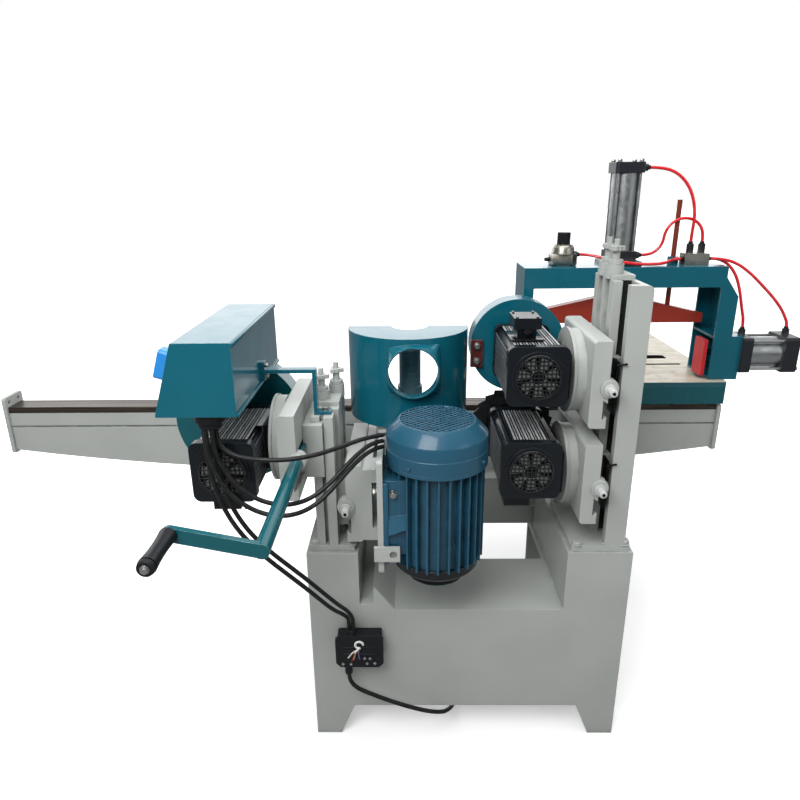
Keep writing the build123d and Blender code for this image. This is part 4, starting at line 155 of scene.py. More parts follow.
MOTOR_PLACES = {     # axis, cover face, and how far from the axis the top and bottom fin tips carry a painted highlight
    "upper": (127, 927, -220, 61), "lower": (118, 734, -250, 35), "left": (-494, 771, -330, 61)}
FIN_ROOT = 51
FIN_TIP = 60.3
FIN_RUN = (20.5, 204.5)
# Span along the motor and out from its axis of the fin tips' painted highlight
FIN_HIGHLIGHT_RUN = (21, 204)
FIN_HIGHLIGHT_TIPS = ((59, 60.6), (-60.6, -59))
FINE_FIN_T = 2       # thin fins between the solid's deep ones
FINE_FIN_PITCH = 12.5
FINE_FIN_STEPS = 3   # fins each side of the middle one
ROTOR_FAN_DEPTH = 18
GUARD_R = 45
GUARD_RIM_R = 2.4
GUARD_RIM_OUT = 1.2
GUARD_ROWS_OUT = 2.2
GUARD_COLUMNS_OUT = 3.0
FAN_BLADES = 7
FAN_START = 0.3      # of the angle between two blades
FAN_OUT = 0.3
FAN_BLADE_T = 0.6
FAN_HUB_R = 15
FAN_HUB_WIRE = 1.2
FAN_HUB_OUT = 0.6
FAN_TIP_R = 40
FAN_ROOT_HALF = 4.8  # half width of a blade at the hub
FAN_FLARE = 2.5
SQUARE_MOTORS = {    # terminal box lid: screw rows across, along, its face and where it looks
    "upper": ((90, 132), (-158, -102), 1035.5, UP),
    "lower": ((97, 139), (-188, -132), 625.5, DOWN),
    "left": ((-515, -473), (-268, -212), 662.5, DOWN)}
LID_SCREW_SHARE = 0.75
TERMINAL_FLANGE = (77, -174, 989.6), (145, -88, 993.5)
ENTRY_PLATE = (104, -168, 1006), (119, -164, 1011)
ENTRY_BOSS = (111, -163, 1008)
ENTRY_BOSS_R = 6
ENTRY_BOSS_L = 8

COVER_TOP_R = 80     # of the round fan cover's flat top
COVER_SKIRT = [      # in from its widest, and share of its height
    (2.5, 0), (0, 0), (0, 0.33), (1, 0.345), (1, 0.66), (2, 0.69)]
COVER_CROWN = [      # out from the flat top's edge, and down from it
    (2, 2), (0, 0), (-3, 0), (-3, 3), (0, 4.5)]
COVER_INSIDE = (4.5, 0.68)
COVER_MESH = 10      # spacing of its bars
COVER_BAR_R = 1.5
COVER_BAR_DROP = 2.6
COVER_BAR_TURNS = (math.radians(40), math.radians(140))
COVER_BAR_EDGE = 2   # from a bar's end to the flat top's edge
COVER_SCREW_UP = 11
COVER_SCREW_ANGLE = math.radians(-123)
# A black disc under the cover's woven top, as painted shade: how far under, and how thick
SHADE_DISC_DROP = 8
SHADE_DISC_T = 3

FOOT_FLANGE = (-187, -291, 540), (-176, -284, 726)
GUSSET = [
    (-176, -284.5, 650), (-138, -284.5, 655), (-138, -299, 626), (-176, -299, 612), (-176, -284.5, 604),
    (-138, -284.5, 618)]
GUSSET_FACES = ((0, 1, 2, 3), (3, 2, 5, 4), (0, 3, 4), (1, 5, 2), (0, 4, 5, 1))
FLANGE_BOLT = (-166, -285, 701)
FLANGE_BOLT_RISE = 9
PLATE_BOLT = (-199, -272)
PLATE_BOLT_Z = (560, 700)
FEED_SOCKET = 6.5
FEED_SOCKET_SUNK = 2
HOOD_BOLT = (30, 30)
HOOD_BOLT_Z = (893, 930)
GRIP_CAP_R = (14, 12)
GRIP_CAP_L = 8
GRIP_CAP_SUNK = 6
GRIP_SCREW_SHARE = 0.8
GRIP_SCREW_RISE = 4
GRIP_SCREW_OUT = 1.9

PLATE_X = (-305, -195)
PLATE_Y = -250
PLATE_Z = (236, 322)
PLATE_T = 10
PLATE_CHAMFER = 11
CASE_IN = (9, 8, 6)  # case inside the old box's sides, behind the plate's face and inside its height
CASE_CHAMFER = 3
LEAD_GLAND = (-268, -240)
LEAD_GLAND_R = 10
SUPPLY_GLAND = (-277, -240)
SUPPLY_GLAND_R = 9
GLAND_SUNK = 8
GLAND_CHAMFER = 1.5
RIB_RANGE = (PLATE_Z[0] + 34, PLATE_Z[1] - 30)
RIB_STEP = 9
RIB_H = 5
RIB_END = 14
RIB_OUT = 1.5
GROMMET = (-250, 300)
GROMMET_R = 9
GROMMET_WIRE = 2.6
GROMMET_OUT = 2
GROMMET_TURN = 0.8   # of a full ring
WIRE_R = 1.7
WIRE_OUT = 3
WIRE_BEND_OUT = 6
WIRES = [            # name, colour, bend and end on the plate
    ("white", "DCDCD8", (-266, 281), (-276, 265)), ("cream", "D9C9A4", (-259, 282), (-264, 261)),
    ("purple", "6D5C9A", (-252, 281), (-250, 262)), ("red", "8E2A1E", (-262, 276), (-268, 254))]
TERMINAL_SCREWS = [(-289, 246), (-270, 246), (-238, 262), (-226, 262), (-233, 248), (-215, 248)]
TERMINAL_SCREW_R = 3.4
TERMINAL_SCREW_L = 3
TERMINAL_SLOT = (2.8, 0.5)         # half length and half width
TERMINAL_SLOT_OUT = (3.3, 2.9)

REGULATOR = (278, 285, 1087)
REGULATOR_BASE = (34, 22.5, 31)    # half length, half width and height
REGULATOR_BOWL = [                 # radius and height
    (0.5, 29), (30.5, 29), (30.5, 34), (29, 38), (29, 44), (26, 50), (20, 53.6), (0.5, 53.6)]
INLET_UP = 15
INLET_R = (6, 4.5)
INLET_L = 14
COLLAR_R = (6.2, 5.4)
COLLAR_L = 7
COLLAR_SUNK = 0.5
CLAMP_AXIS = (431, 303)
CLAMP_TOP = 1343
CLAMP_TIE = 27.5
SIDE_AXIS = (256, 852)
SIDE_END = 905
SIDE_TIE = 37.5

BOX_EDGE_X = (-440.5, -436)
BOX_EDGE_Y = (-384, -6)
BOX_EDGE_Z = ((906.5, 912), (1034, 1041.5))
BOX_EDGE_CHAMFER = 1.2


# Stage: camera and lamps in millimetres and degrees, lamp sizes in metres and powers in watts

CAMERA_PLACE = (-132.0, -1450.1, 1301.2)
CAMERA_TURN = (18.87, -0.62, -0.88)          # pitch, roll and yaw
CAMERA_SENSOR = 36
CAMERA_LENS = 28.72
FLOOR_REACH = 30     # metres
FLOOR_DROP = 0.5     # under the feet
LAMP_AIM = (0, 0, 650)
LAMPS = [            # name, place, size and power
    ("key", (-800, -1650, 2350), 1.3, 48), ("top", (200, 200, 3600), 3.0, 56),
    ("fill", (2400, -1700, 1900), 1.6, 11)]


# Settings that a user may change

def linear(code):
    """Linear colour of an sRGB hex code."""
    values = [int(code[i:i + 2], 16) / 255 for i in (0, 2, 4)]
    return tuple(v / 12.92 if v <= 0.04045 else ((v + 0.055) / 1.055) ** 2.4 for v in values)


def paint_property(name, code):
    """A colour setting."""
    return FloatVectorProperty(name=name, description=f"Colour of the {name.lower()}", subtype="COLOR",
                               size=3, min=0, max=1, default=linear(code))


def length_property(name, description, millimetres):
    """A length setting."""
    return FloatProperty(name=name, description=description, subtype="DISTANCE", unit="LENGTH", min=0,
                         default=millimetres * MM)


class TENONER_PG_colours(bpy.types.PropertyGroup):
    """Colours of the machine's finishes."""
    grey: paint_property("Grey enamel", "B6BAB6")
    teal: paint_property("Teal enamel", "0C6072")
    dark_teal: paint_property("Dark teal enamel", "0B565F")
    blue: paint_property("Blue motor enamel", "25576F")
    black: paint_property("Motor enamel", "12181D")
    red: paint_property("Clamp enamel", "A03424")
    cream: paint_property("Table paint", "D3CDBB")
    hose: paint_property("Hose plastic", "E01622")
    handle: paint_property("Switch handle plastic", "2F8FE0")
    rubber: paint_property("Cable sheath", "0B0C0D")


class TENONER_PG_sizes(bpy.types.PropertyGroup):
    """Sizes of cords and fasteners."""
    lead: length_property("Lead", "Diameter of a control lead", 9)
    supply: length_property("Supply cable", "Diameter of the supply cable", 10)
    hose: length_property("Air hose", "Diameter of an air hose", 8)
    foot_bolt: length_property("Foot bolt", "Width across flats of a column foot's bolt", 19)
    small_bolt: length_property("Small bolt", "Width across flats of a bracket or hood bolt", 13)
    cover_screw: length_property("Cover screw", "Head diameter of a cover screw", 8)
    tie_nut: length_property("Tie nut", "Width across flats of a cylinder's tie rod nut", 10)
    guard_wire: length_property("Guard wire", "Diameter of a fan guard's wire", 2.8)
    guard_pitch: length_property("Guard pitch", "Spacing of a fan guard's wires", 8.6)


# Shader helpers

def add_node(tree, kind, inputs=None, **settings):
    """Adds one shader node, with its settings and its values or links."""
    node = tree.nodes.new(kind)
    for name, value in settings.items():
        setattr(node, name, value)
    for key, value in (inputs or {}).items():
        if isinstance(value, bpy.types.NodeSocket):
            tree.links.new(value, node.inputs[key])
        else:
            node.inputs[key].default_value = value
    return node


def rgba(colour):
    """A colour with full alpha."""
    return (*colour[:3], 1.0)


def toned(colour, factor, lift=0.0):
    """A darker or paler shade of a colour."""
    return tuple(min(1, c * factor + lift) for c in colour)


def start_material(name):
    """An empty material and the piece's own coordinates."""
    material = bpy.data.materials.new(name)
    material.use_nodes = True
    tree = material.node_tree
    tree.nodes.clear()
    return material, tree, add_node(tree, "ShaderNodeTexCoord").outputs["Object"]


def end_material(tree, **sockets):
    """The surface shader: a constant goes on its socket, and a pattern is linked to it."""
    inputs = {name.replace("_", " "): value for name, value in sockets.items()}
    shader = add_node(tree, "ShaderNodeBsdfPrincipled", inputs)
    add_node(tree, "ShaderNodeOutputMaterial", {"Surface": shader.outputs[0]})


def mottle(tree, coords, size_mm, low, high, detail=3.0):
    """A cloudy pattern of blotches about size_mm wide, from low to high."""
    noise = add_node(tree, "ShaderNodeTexNoise", {
        "Vector": coords, "Scale": 1 / (size_mm * MM), "Detail": detail})
    clouds = add_node(tree, "ShaderNodeMapRange", {
        "Value": noise.outputs["Fac"], "From Min": 0.35, "From Max": 0.65, "To Min": low, "To Max": high})
    return clouds.outputs[0]


def blend_colour(tree, factor, first, second):
    """Colour that goes from first to second with the factor; each is a colour or a pattern."""
    ends = [end if isinstance(end, bpy.types.NodeSocket) else rgba(end) for end in (first, second)]
    return add_node(tree, "ShaderNodeMix", {0: factor, 6: ends[0], 7: ends[1]}, data_type="RGBA").outputs[2]


def in_box(tree, coords, spans):
    """Mask that is 1 inside spans of the part's own axes, given in millimetres."""
    axes = add_node(tree, "ShaderNodeSeparateXYZ", {0: coords}).outputs
    mask = None
    for axis, low, high in spans:
        inside = add_node(tree, "ShaderNodeMath", {
            0: axes["XYZ".index(axis)], 1: (low + high) / 2 * MM, 2: (high - low) / 2 * MM},
            operation="COMPARE").outputs[0]
        if mask is None:
            mask = inside
        else:
            mask = add_node(tree, "ShaderNodeMath", {0: mask, 1: inside}, operation="MULTIPLY").outputs[0]
    return mask


def zone(code, metal, rough, *spans):
    """A patch of another finish: its colour, metal and roughness, and the box that it fills."""
    return linear(code), metal, rough, spans


def zoned(tree, coords, colour, metal, rough, zones):
    """Colour, metal and roughness, with each zone's own inside its box."""
    for zone_colour, zone_metal, zone_rough, spans in zones:
        mask = in_box(tree, coords, spans)
        colour = blend_colour(tree, mask, colour, zone_colour)
        metal = add_node(tree, "ShaderNodeMix", {0: mask, 2: metal, 3: zone_metal}).outputs[0]
        rough = add_node(tree, "ShaderNodeMix", {0: mask, 2: rough, 3: zone_rough}).outputs[0]
    return colour, metal, rough


def worn_and_highlit_edges(tree, coords, rounded):
    """A patchy mask of outer edges, where the rounded normal leaves the flat one: the paler colour laid there
    is partly worn paint and partly painted highlight.
    """
    flat = add_node(tree, "ShaderNodeNewGeometry").outputs["Normal"]
    turned = add_node(tree, "ShaderNodeVectorMath", {0: rounded, 1: flat}, operation="DOT_PRODUCT")
    edge = add_node(tree, "ShaderNodeMapRange", {
        "Value": turned.outputs["Value"], "From Min": 0.99, "From Max": 0.85})
    chips = mottle(tree, coords, 14, 0, 1, 6.0)
    return add_node(tree, "ShaderNodeMath", {0: edge.outputs[0], 1: chips}, operation="MULTIPLY").outputs[0]


def corner_dirt_and_shade(tree):
    """A mask of inner corners from ambient occlusion: soiling there, and painted shade where less light
    falls.
    """
    shade = add_node(tree, "ShaderNodeAmbientOcclusion", {"Distance": 30 * MM}, samples=4).outputs["AO"]
    dirt_and_shade = add_node(tree, "ShaderNodeMapRange", {"Value": shade, "From Min": 0.75, "From Max": 0.2})
    return dirt_and_shade.outputs[0]


# Materials

def enamel(name, colour, chip_and_highlight, grime_and_shade, rough=0.35, coat=0.4, peel=0.04, zones=(), gloss=0.25):
    """Sprayed enamel on steel: an even colour, faint orange peel, paler edges that are partly thin paint and
    partly painted highlight, and soiling with painted shade in corners.
    """
    material, tree, coords = start_material(name)
    rounded = add_node(tree, "ShaderNodeBevel", {"Radius": 1.5 * MM}, samples=4).outputs[0]
    clouds = mottle(tree, coords, 160, 0, 1)
    base = blend_colour(tree, clouds, toned(colour, 0.93), colour)
    roughness = mottle(tree, coords, 60, rough - 0.03, rough + 0.04)
    base, metal, roughness = zoned(tree, coords, base, 0.0, roughness, zones)
    # Paler edges: partly thin paint, partly a painted highlight
    base = blend_colour(tree, worn_and_highlit_edges(tree, coords, rounded), base, chip_and_highlight)
    # Darker inner corners in patches: soiling and painted shade
    patches = mottle(tree, coords, 35, 0.1, 0.65)
    soiled_and_shaded = add_node(tree, "ShaderNodeMath", {0: corner_dirt_and_shade(tree), 1: patches}, operation="MULTIPLY")
    base = blend_colour(tree, soiled_and_shaded.outputs[0], base, grime_and_shade)
    skin = add_node(tree, "ShaderNodeTexNoise", {"Vector": coords, "Scale": 1 / (3 * MM), "Detail": 1.0})
    bump = add_node(tree, "ShaderNodeBump", {
        "Strength": peel, "Distance": MM, "Height": skin.outputs["Fac"], "Normal": rounded})
    end_material(tree, Base_Color=base, Metallic=metal, Roughness=roughness, Normal=bump.outputs[0],
                 Specular_IOR_Level=gloss, Coat_Weight=coat, Coat_Roughness=0.06, Coat_Normal=rounded)
    return material


def ground_steel(name, colour, rough=0.32, zones=(), dull=0.72):
    """Ground or turned metal: bright, with machining streaks that are as dull as asked, and a film of oil
    with painted shade darkening its inner corners.
    """
    material, tree, coords = start_material(name)
    rounded = add_node(tree, "ShaderNodeBevel", {"Radius": 0.8 * MM}, samples=4).outputs[0]
    # The streaks are drawn coarser than real ones, so that they show
    streaks = add_node(tree, "ShaderNodeMapping", {"Vector": coords, "Scale": (1, 1, 12)}).outputs[0]
    lines = mottle(tree, streaks, 9, 0, 1, 4.0)
    base = blend_colour(tree, lines, toned(colour, dull), colour)
    roughness = mottle(tree, coords, 20, rough - 0.08, rough + 0.12)
    base, metal, roughness = zoned(tree, coords, base, 1.0, roughness, zones)
    # Inner corners darkened to a third of the colour: oil and painted shade
    base = blend_colour(tree, corner_dirt_and_shade(tree), base, toned(colour, 0.3))
    end_material(tree, Base_Color=base, Metallic=metal, Roughness=roughness, Normal=rounded)
    return material


def worn_table_paint(name, colour, rim):
    """Cream paint on a cast top: streaks rubbed along the timber's path, scuffs, paler edges of nicks and
    painted highlight, soiling and painted shade in corners, painted shade in the slot and window, and a
    painted rim.
    """
    material, tree, coords = start_material(name)
    rounded = add_node(tree, "ShaderNodeBevel", {"Radius": 1.2 * MM}, samples=4).outputs[0]
    along = add_node(tree, "ShaderNodeMapping", {"Vector": coords, "Scale": (0.25, 2, 2)}).outputs[0]
    streaks = mottle(tree, along, 30, 0, 1, 6.0)
    base = blend_colour(tree, streaks, linear("C2B9A4"), colour)
    scuffs = mottle(tree, coords, 26, -1.6, 0.4, 8.0)
    base = blend_colour(tree, scuffs, base, linear("8D8676"))
    # Paler edges: partly nicks, partly a painted highlight
    base = blend_colour(tree, worn_and_highlit_edges(tree, coords, rounded), base, linear("E6E2D6"))
    # Darker inner corners: soiling and painted shade
    base = blend_colour(tree, corner_dirt_and_shade(tree), base, linear("4A4438"))
    base = blend_colour(tree, in_box(tree, coords, [TABLE_RIM]), base, rim)
    # The slot and window walls are painted near black: painted shade inside them
    for cut in TABLE_SLOT_SHADE:
        base = blend_colour(tree, in_box(tree, coords, cut), base, linear("1C1B19"))
    roughness = mottle(tree, coords, 30, 0.35, 0.6)
    end_material(tree, Base_Color=base, Metallic=0.0, Roughness=roughness, Normal=rounded, Coat_Weight=0.15)
    return material


def oiled_guide(name, colour):
    """Hardened guide steel under old oil: brown-black, half shiny, with long rubbed lines."""
    material, tree, coords = start_material(name)
    rounded = add_node(tree, "ShaderNodeBevel", {"Radius": MM}, samples=4).outputs[0]
    along = add_node(tree, "ShaderNodeMapping", {"Vector": coords, "Scale": (0.05, 4, 4)}).outputs[0]
    lines = mottle(tree, along, 12, 0, 1, 5.0)
    base = blend_colour(tree, lines, colour, linear("5A5148"))
    # Paler edges: partly rubbed steel, partly a painted highlight
    base = blend_colour(tree, worn_and_highlit_edges(tree, coords, rounded), base, linear("9C958B"))
    roughness = mottle(tree, along, 18, 0.25, 0.5)
    end_material(tree, Base_Color=base, Metallic=0.7, Roughness=roughness, Normal=rounded)
    return material


def moulded_plastic(name, colour, rough=0.4, coat=0.0):
    """Moulded plastic: one colour right through, a fine spark-eroded grain and paler edges, partly rubbed and
    partly a painted highlight.
    """
    material, tree, coords = start_material(name)
    rounded = add_node(tree, "ShaderNodeBevel", {"Radius": 0.8 * MM}, samples=4).outputs[0]
    # Paler edges: partly rubbed plastic, partly a painted highlight
    base = blend_colour(tree, worn_and_highlit_edges(tree, coords, rounded), colour, toned(colour, 1.5, 0.02))
    # The grain is drawn coarser than a real one, so that it shows
    grain = add_node(tree, "ShaderNodeTexNoise", {"Vector": coords, "Scale": 1 / (1.2 * MM), "Detail": 2.0})
    bump = add_node(tree, "ShaderNodeBump", {
        "Strength": 0.08, "Distance": 0.3 * MM, "Height": grain.outputs["Fac"], "Normal": rounded})
    roughness = mottle(tree, coords, 15, rough - 0.06, rough + 0.1)
    end_material(tree, Base_Color=base, Metallic=0.0, Roughness=roughness, Normal=bump.outputs[0],
                 Specular_IOR_Level=0.25, Coat_Weight=coat)
    return material


def cord_sheath(name, colour, rough):
    """Extruded sheath: smooth and half matt, with slight scuffs along it."""
    material, tree, coords = start_material(name)
    scuffs = mottle(tree, coords, 10, 0, 1, 6.0)
    base = blend_colour(tree, scuffs, colour, toned(colour, 1.25, 0.006))
    roughness = mottle(tree, coords, 25, rough - 0.08, rough + 0.1)
    end_material(tree, Base_Color=base, Metallic=0.0, Roughness=roughness, Specular_IOR_Level=0.3,
                 Coat_Weight=0.1, Coat_Roughness=0.3)
    return material


def clear_hose(name, colour):
    """Polyurethane air hose: saturated, slightly translucent, glossy plastic."""
    material, tree, coords = start_material(name)
    depth = mottle(tree, coords, 18, 0, 1)
    base = blend_colour(tree, depth, colour, toned(colour, 1.15, 0.01))
    roughness = mottle(tree, coords, 30, 0.18, 0.3)
    end_material(tree, Base_Color=base, Metallic=0.0, Roughness=roughness, Subsurface_Weight=0.15,
                 Subsurface_Radius=(0.004, 0.001, 0.001), Subsurface_Scale=1.0, Coat_Weight=0.5,
                 Coat_Roughness=0.1)
    return material


def finish(name):
    """A material made before, by its name."""
    return bpy.data.materials[name]


def paint_nodes(material, *nodes):
    """Gives solids of the machine a finish."""
    for node in nodes:
        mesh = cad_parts[node].data
        mesh.materials.clear()
        mesh.materials.append(material)


# Mesh helpers

def point(x, y, z):
    """A place in metres from millimetres."""
    return Vector((x, y, z)) * MM


def add_piece(name, bm, material, body):
    """Makes a piece of a finished bmesh, and lets it ride on a body."""
    mesh = bpy.data.meshes.new(name)
    bmesh.ops.recalc_face_normals(bm, faces=bm.faces)
    bm.to_mesh(mesh)
    bm.free()
    mesh.materials.append(material)
    mesh.shade_smooth()
    mesh.set_sharp_from_angle(angle=math.radians(35))
    piece = bpy.data.objects.new(name, mesh)
    bpy.context.scene.collection.objects.link(piece)
    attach(piece, body)
    return piece


def along_axis(at, axis, shift=0.0):
    """Matrix that stands a shape made about Z at a point, along an axis."""
    turn = UP.rotation_difference(axis).to_matrix().to_4x4()
    return Matrix.Translation(at + axis.normalized() * shift) @ turn


def break_edges(bm, edges, width, segments=2):
    """Bevels edges, and gives what the operator made."""
    return bmesh.ops.bevel(bm, geom=edges, offset=width, offset_type="OFFSET", affect="EDGES",
                           segments=segments, profile=0.5, material=-1, clamp_overlap=True)


def add_rod(bm, at, axis, radius, length, sides=24, end_radius=None, chamfer=0.0):
    """A turned rod that starts at a point and runs along an axis."""
    made = bmesh.ops.create_cone(bm, cap_ends=True, segments=sides, radius1=radius, depth=length,
                                 radius2=radius if end_radius is None else end_radius)
    verts = made["verts"]
    if chamfer:
        level = 0.001 * MM
        edges = {e for v in verts for e in v.link_edges}
        rims = [e for e in edges if abs(e.verts[0].co.z - e.verts[1].co.z) < level]
        cut = break_edges(bm, rims, chamfer)
        verts = list({v for v in verts if v.is_valid} | set(cut["verts"]))
    bmesh.ops.transform(bm, matrix=along_axis(at, axis, length / 2), verts=verts)


def add_block(bm, low, high, chamfer=0.0):
    """A block between two corners, with its edges broken."""
    made = bmesh.ops.create_cube(bm, size=1)["verts"]
    bmesh.ops.scale(bm, vec=high - low, verts=made)
    bmesh.ops.translate(bm, vec=(low + high) / 2, verts=made)
    if chamfer:
        break_edges(bm, list({e for v in made for e in v.link_edges}), chamfer)


def add_bolt(bm, at, axis, flats, rise=None):
    """Hex bolt head on its washer, with the width across flats and the height over all."""
    rise = rise or flats * 0.75
    washer = rise * 0.18
    head = rise * 0.76
    thread = rise * 0.1
    add_rod(bm, at, axis, flats * 0.66, washer, 28, chamfer=rise * 0.03)
    add_rod(bm, at + axis * washer, axis, flats * 0.577, head, 6, chamfer=rise * 0.08)
    add_rod(bm, at + axis * rise * 0.9, axis, flats * 0.4, thread, 20)


def add_socket_screw(bm, at, axis, width):
    """Socket-head screw: a knurl-sized round head with a hex recess."""
    add_rod(bm, at, axis, width / 2, width * 0.55, 24, chamfer=width * 0.07)
    add_rod(bm, at + axis * width * 0.5, axis, width * 0.27, width * 0.08, 6)


def add_ring(bm, at, axis, radius, wire, turns=1.0):
    """Round wire bent into a ring, or part of one."""
    steps = max(8, int(40 * turns))
    made = bmesh.ops.create_circle(bm, cap_ends=turns < 1.0, segments=10, radius=wire)
    section = made["verts"]
    bmesh.ops.rotate(bm, verts=section, cent=(0, 0, 0), matrix=Matrix.Rotation(math.pi / 2, 3, "X"))
    bmesh.ops.translate(bm, vec=(radius, 0, 0), verts=section)
    geom = section + list({e for v in section for e in v.link_edges})
    geom += list({f for v in section for f in v.link_faces})
    before = set(bm.verts) - set(section)
    bmesh.ops.spin(bm, geom=geom, cent=(0, 0, 0), axis=UP, angle=2 * math.pi * turns, steps=steps,
                   use_merge=turns >= 1.0)
    verts = [v for v in bm.verts if v not in before]
    bmesh.ops.transform(bm, matrix=along_axis(at, axis), verts=verts)


def add_turned(bm, at, profile, sides=72):
    """Solid of revolution about an upright axis, from a closed profile of radius and height in mm."""
    before = set(bm.verts)
    ring = [bm.verts.new(at + point(radius, 0, height)) for radius, height in profile]
    edges = [bm.edges.new((ring[i - 1], ring[i])) for i in range(len(ring))]
    bmesh.ops.spin(bm, geom=ring + edges, cent=at, axis=UP, angle=2 * math.pi, steps=sides, use_merge=True)
    new = [v for v in bm.verts if v not in before]
    bmesh.ops.recalc_face_normals(bm, faces=list({f for v in new for f in v.link_faces}))


def add_cord(name, route, diameter, material, body):
    """A cord on a smooth line, with the route's points, in millimetres, as its control points."""
    curve = bpy.data.curves.new(name, "CURVE")
    curve.dimensions = "3D"
    curve.resolution_u = 8
    curve.bevel_depth = diameter / 2
    curve.bevel_resolution = 4
    curve.use_fill_caps = True
    spline = curve.splines.new("NURBS")
    spline.points.add(len(route) - 1)
    for control, place in zip(spline.points, route):
        control.co = (*point(*place), 1.0)
    spline.order_u = 3
    spline.use_endpoint_u = True
    curve.materials.append(material)
    cord = bpy.data.objects.new(name, curve)
    bpy.context.scene.collection.objects.link(cord)
    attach(cord, body)
    return cord


def coil_points():
    """Control points of the coil: in on the floor, up a layer in the middle half turn, and out again."""
    pitch = COIL_STEP / 2
    inner = COIL_OUTER - COIL_HALF_TURNS * pitch
    halves = [(half % 2 * pitch, COIL_OUTER - half * pitch, 0, 0) for half in range(COIL_HALF_TURNS)]
    halves.append((0, inner, 0, COIL_STEP))
    for half in range(1, COIL_HALF_TURNS):
        halves.append((-(half % 2) * pitch, inner + half * pitch, COIL_STEP, COIL_STEP))
    points = []
    inset = 1 / math.cos(math.pi / (2 * COIL_POINTS))
    for turn, (shift, radius, low, high) in enumerate(halves):
        for step in range(COIL_POINTS):
            share = (step + 0.5) / COIL_POINTS
            angle = math.pi - math.pi * (turn + share)
            points.append((COIL_CENTRE[0] + shift + radius * inset * math.cos(angle),
                           COIL_CENTRE[1] + radius * inset * math.sin(angle),
                           COIL_FLOOR + low + share * (high - low)))
    return points


def cover_centre(head):
    """Centre of a square motor's cover face: on the rotor's axis, at the front of the motor."""
    low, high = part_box(head + "_rotor")
    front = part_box(head + "_motor")[0]
    return Vector(((low.x + high.x) / 2, front.y, (low.z + high.z) / 2))


# Operators

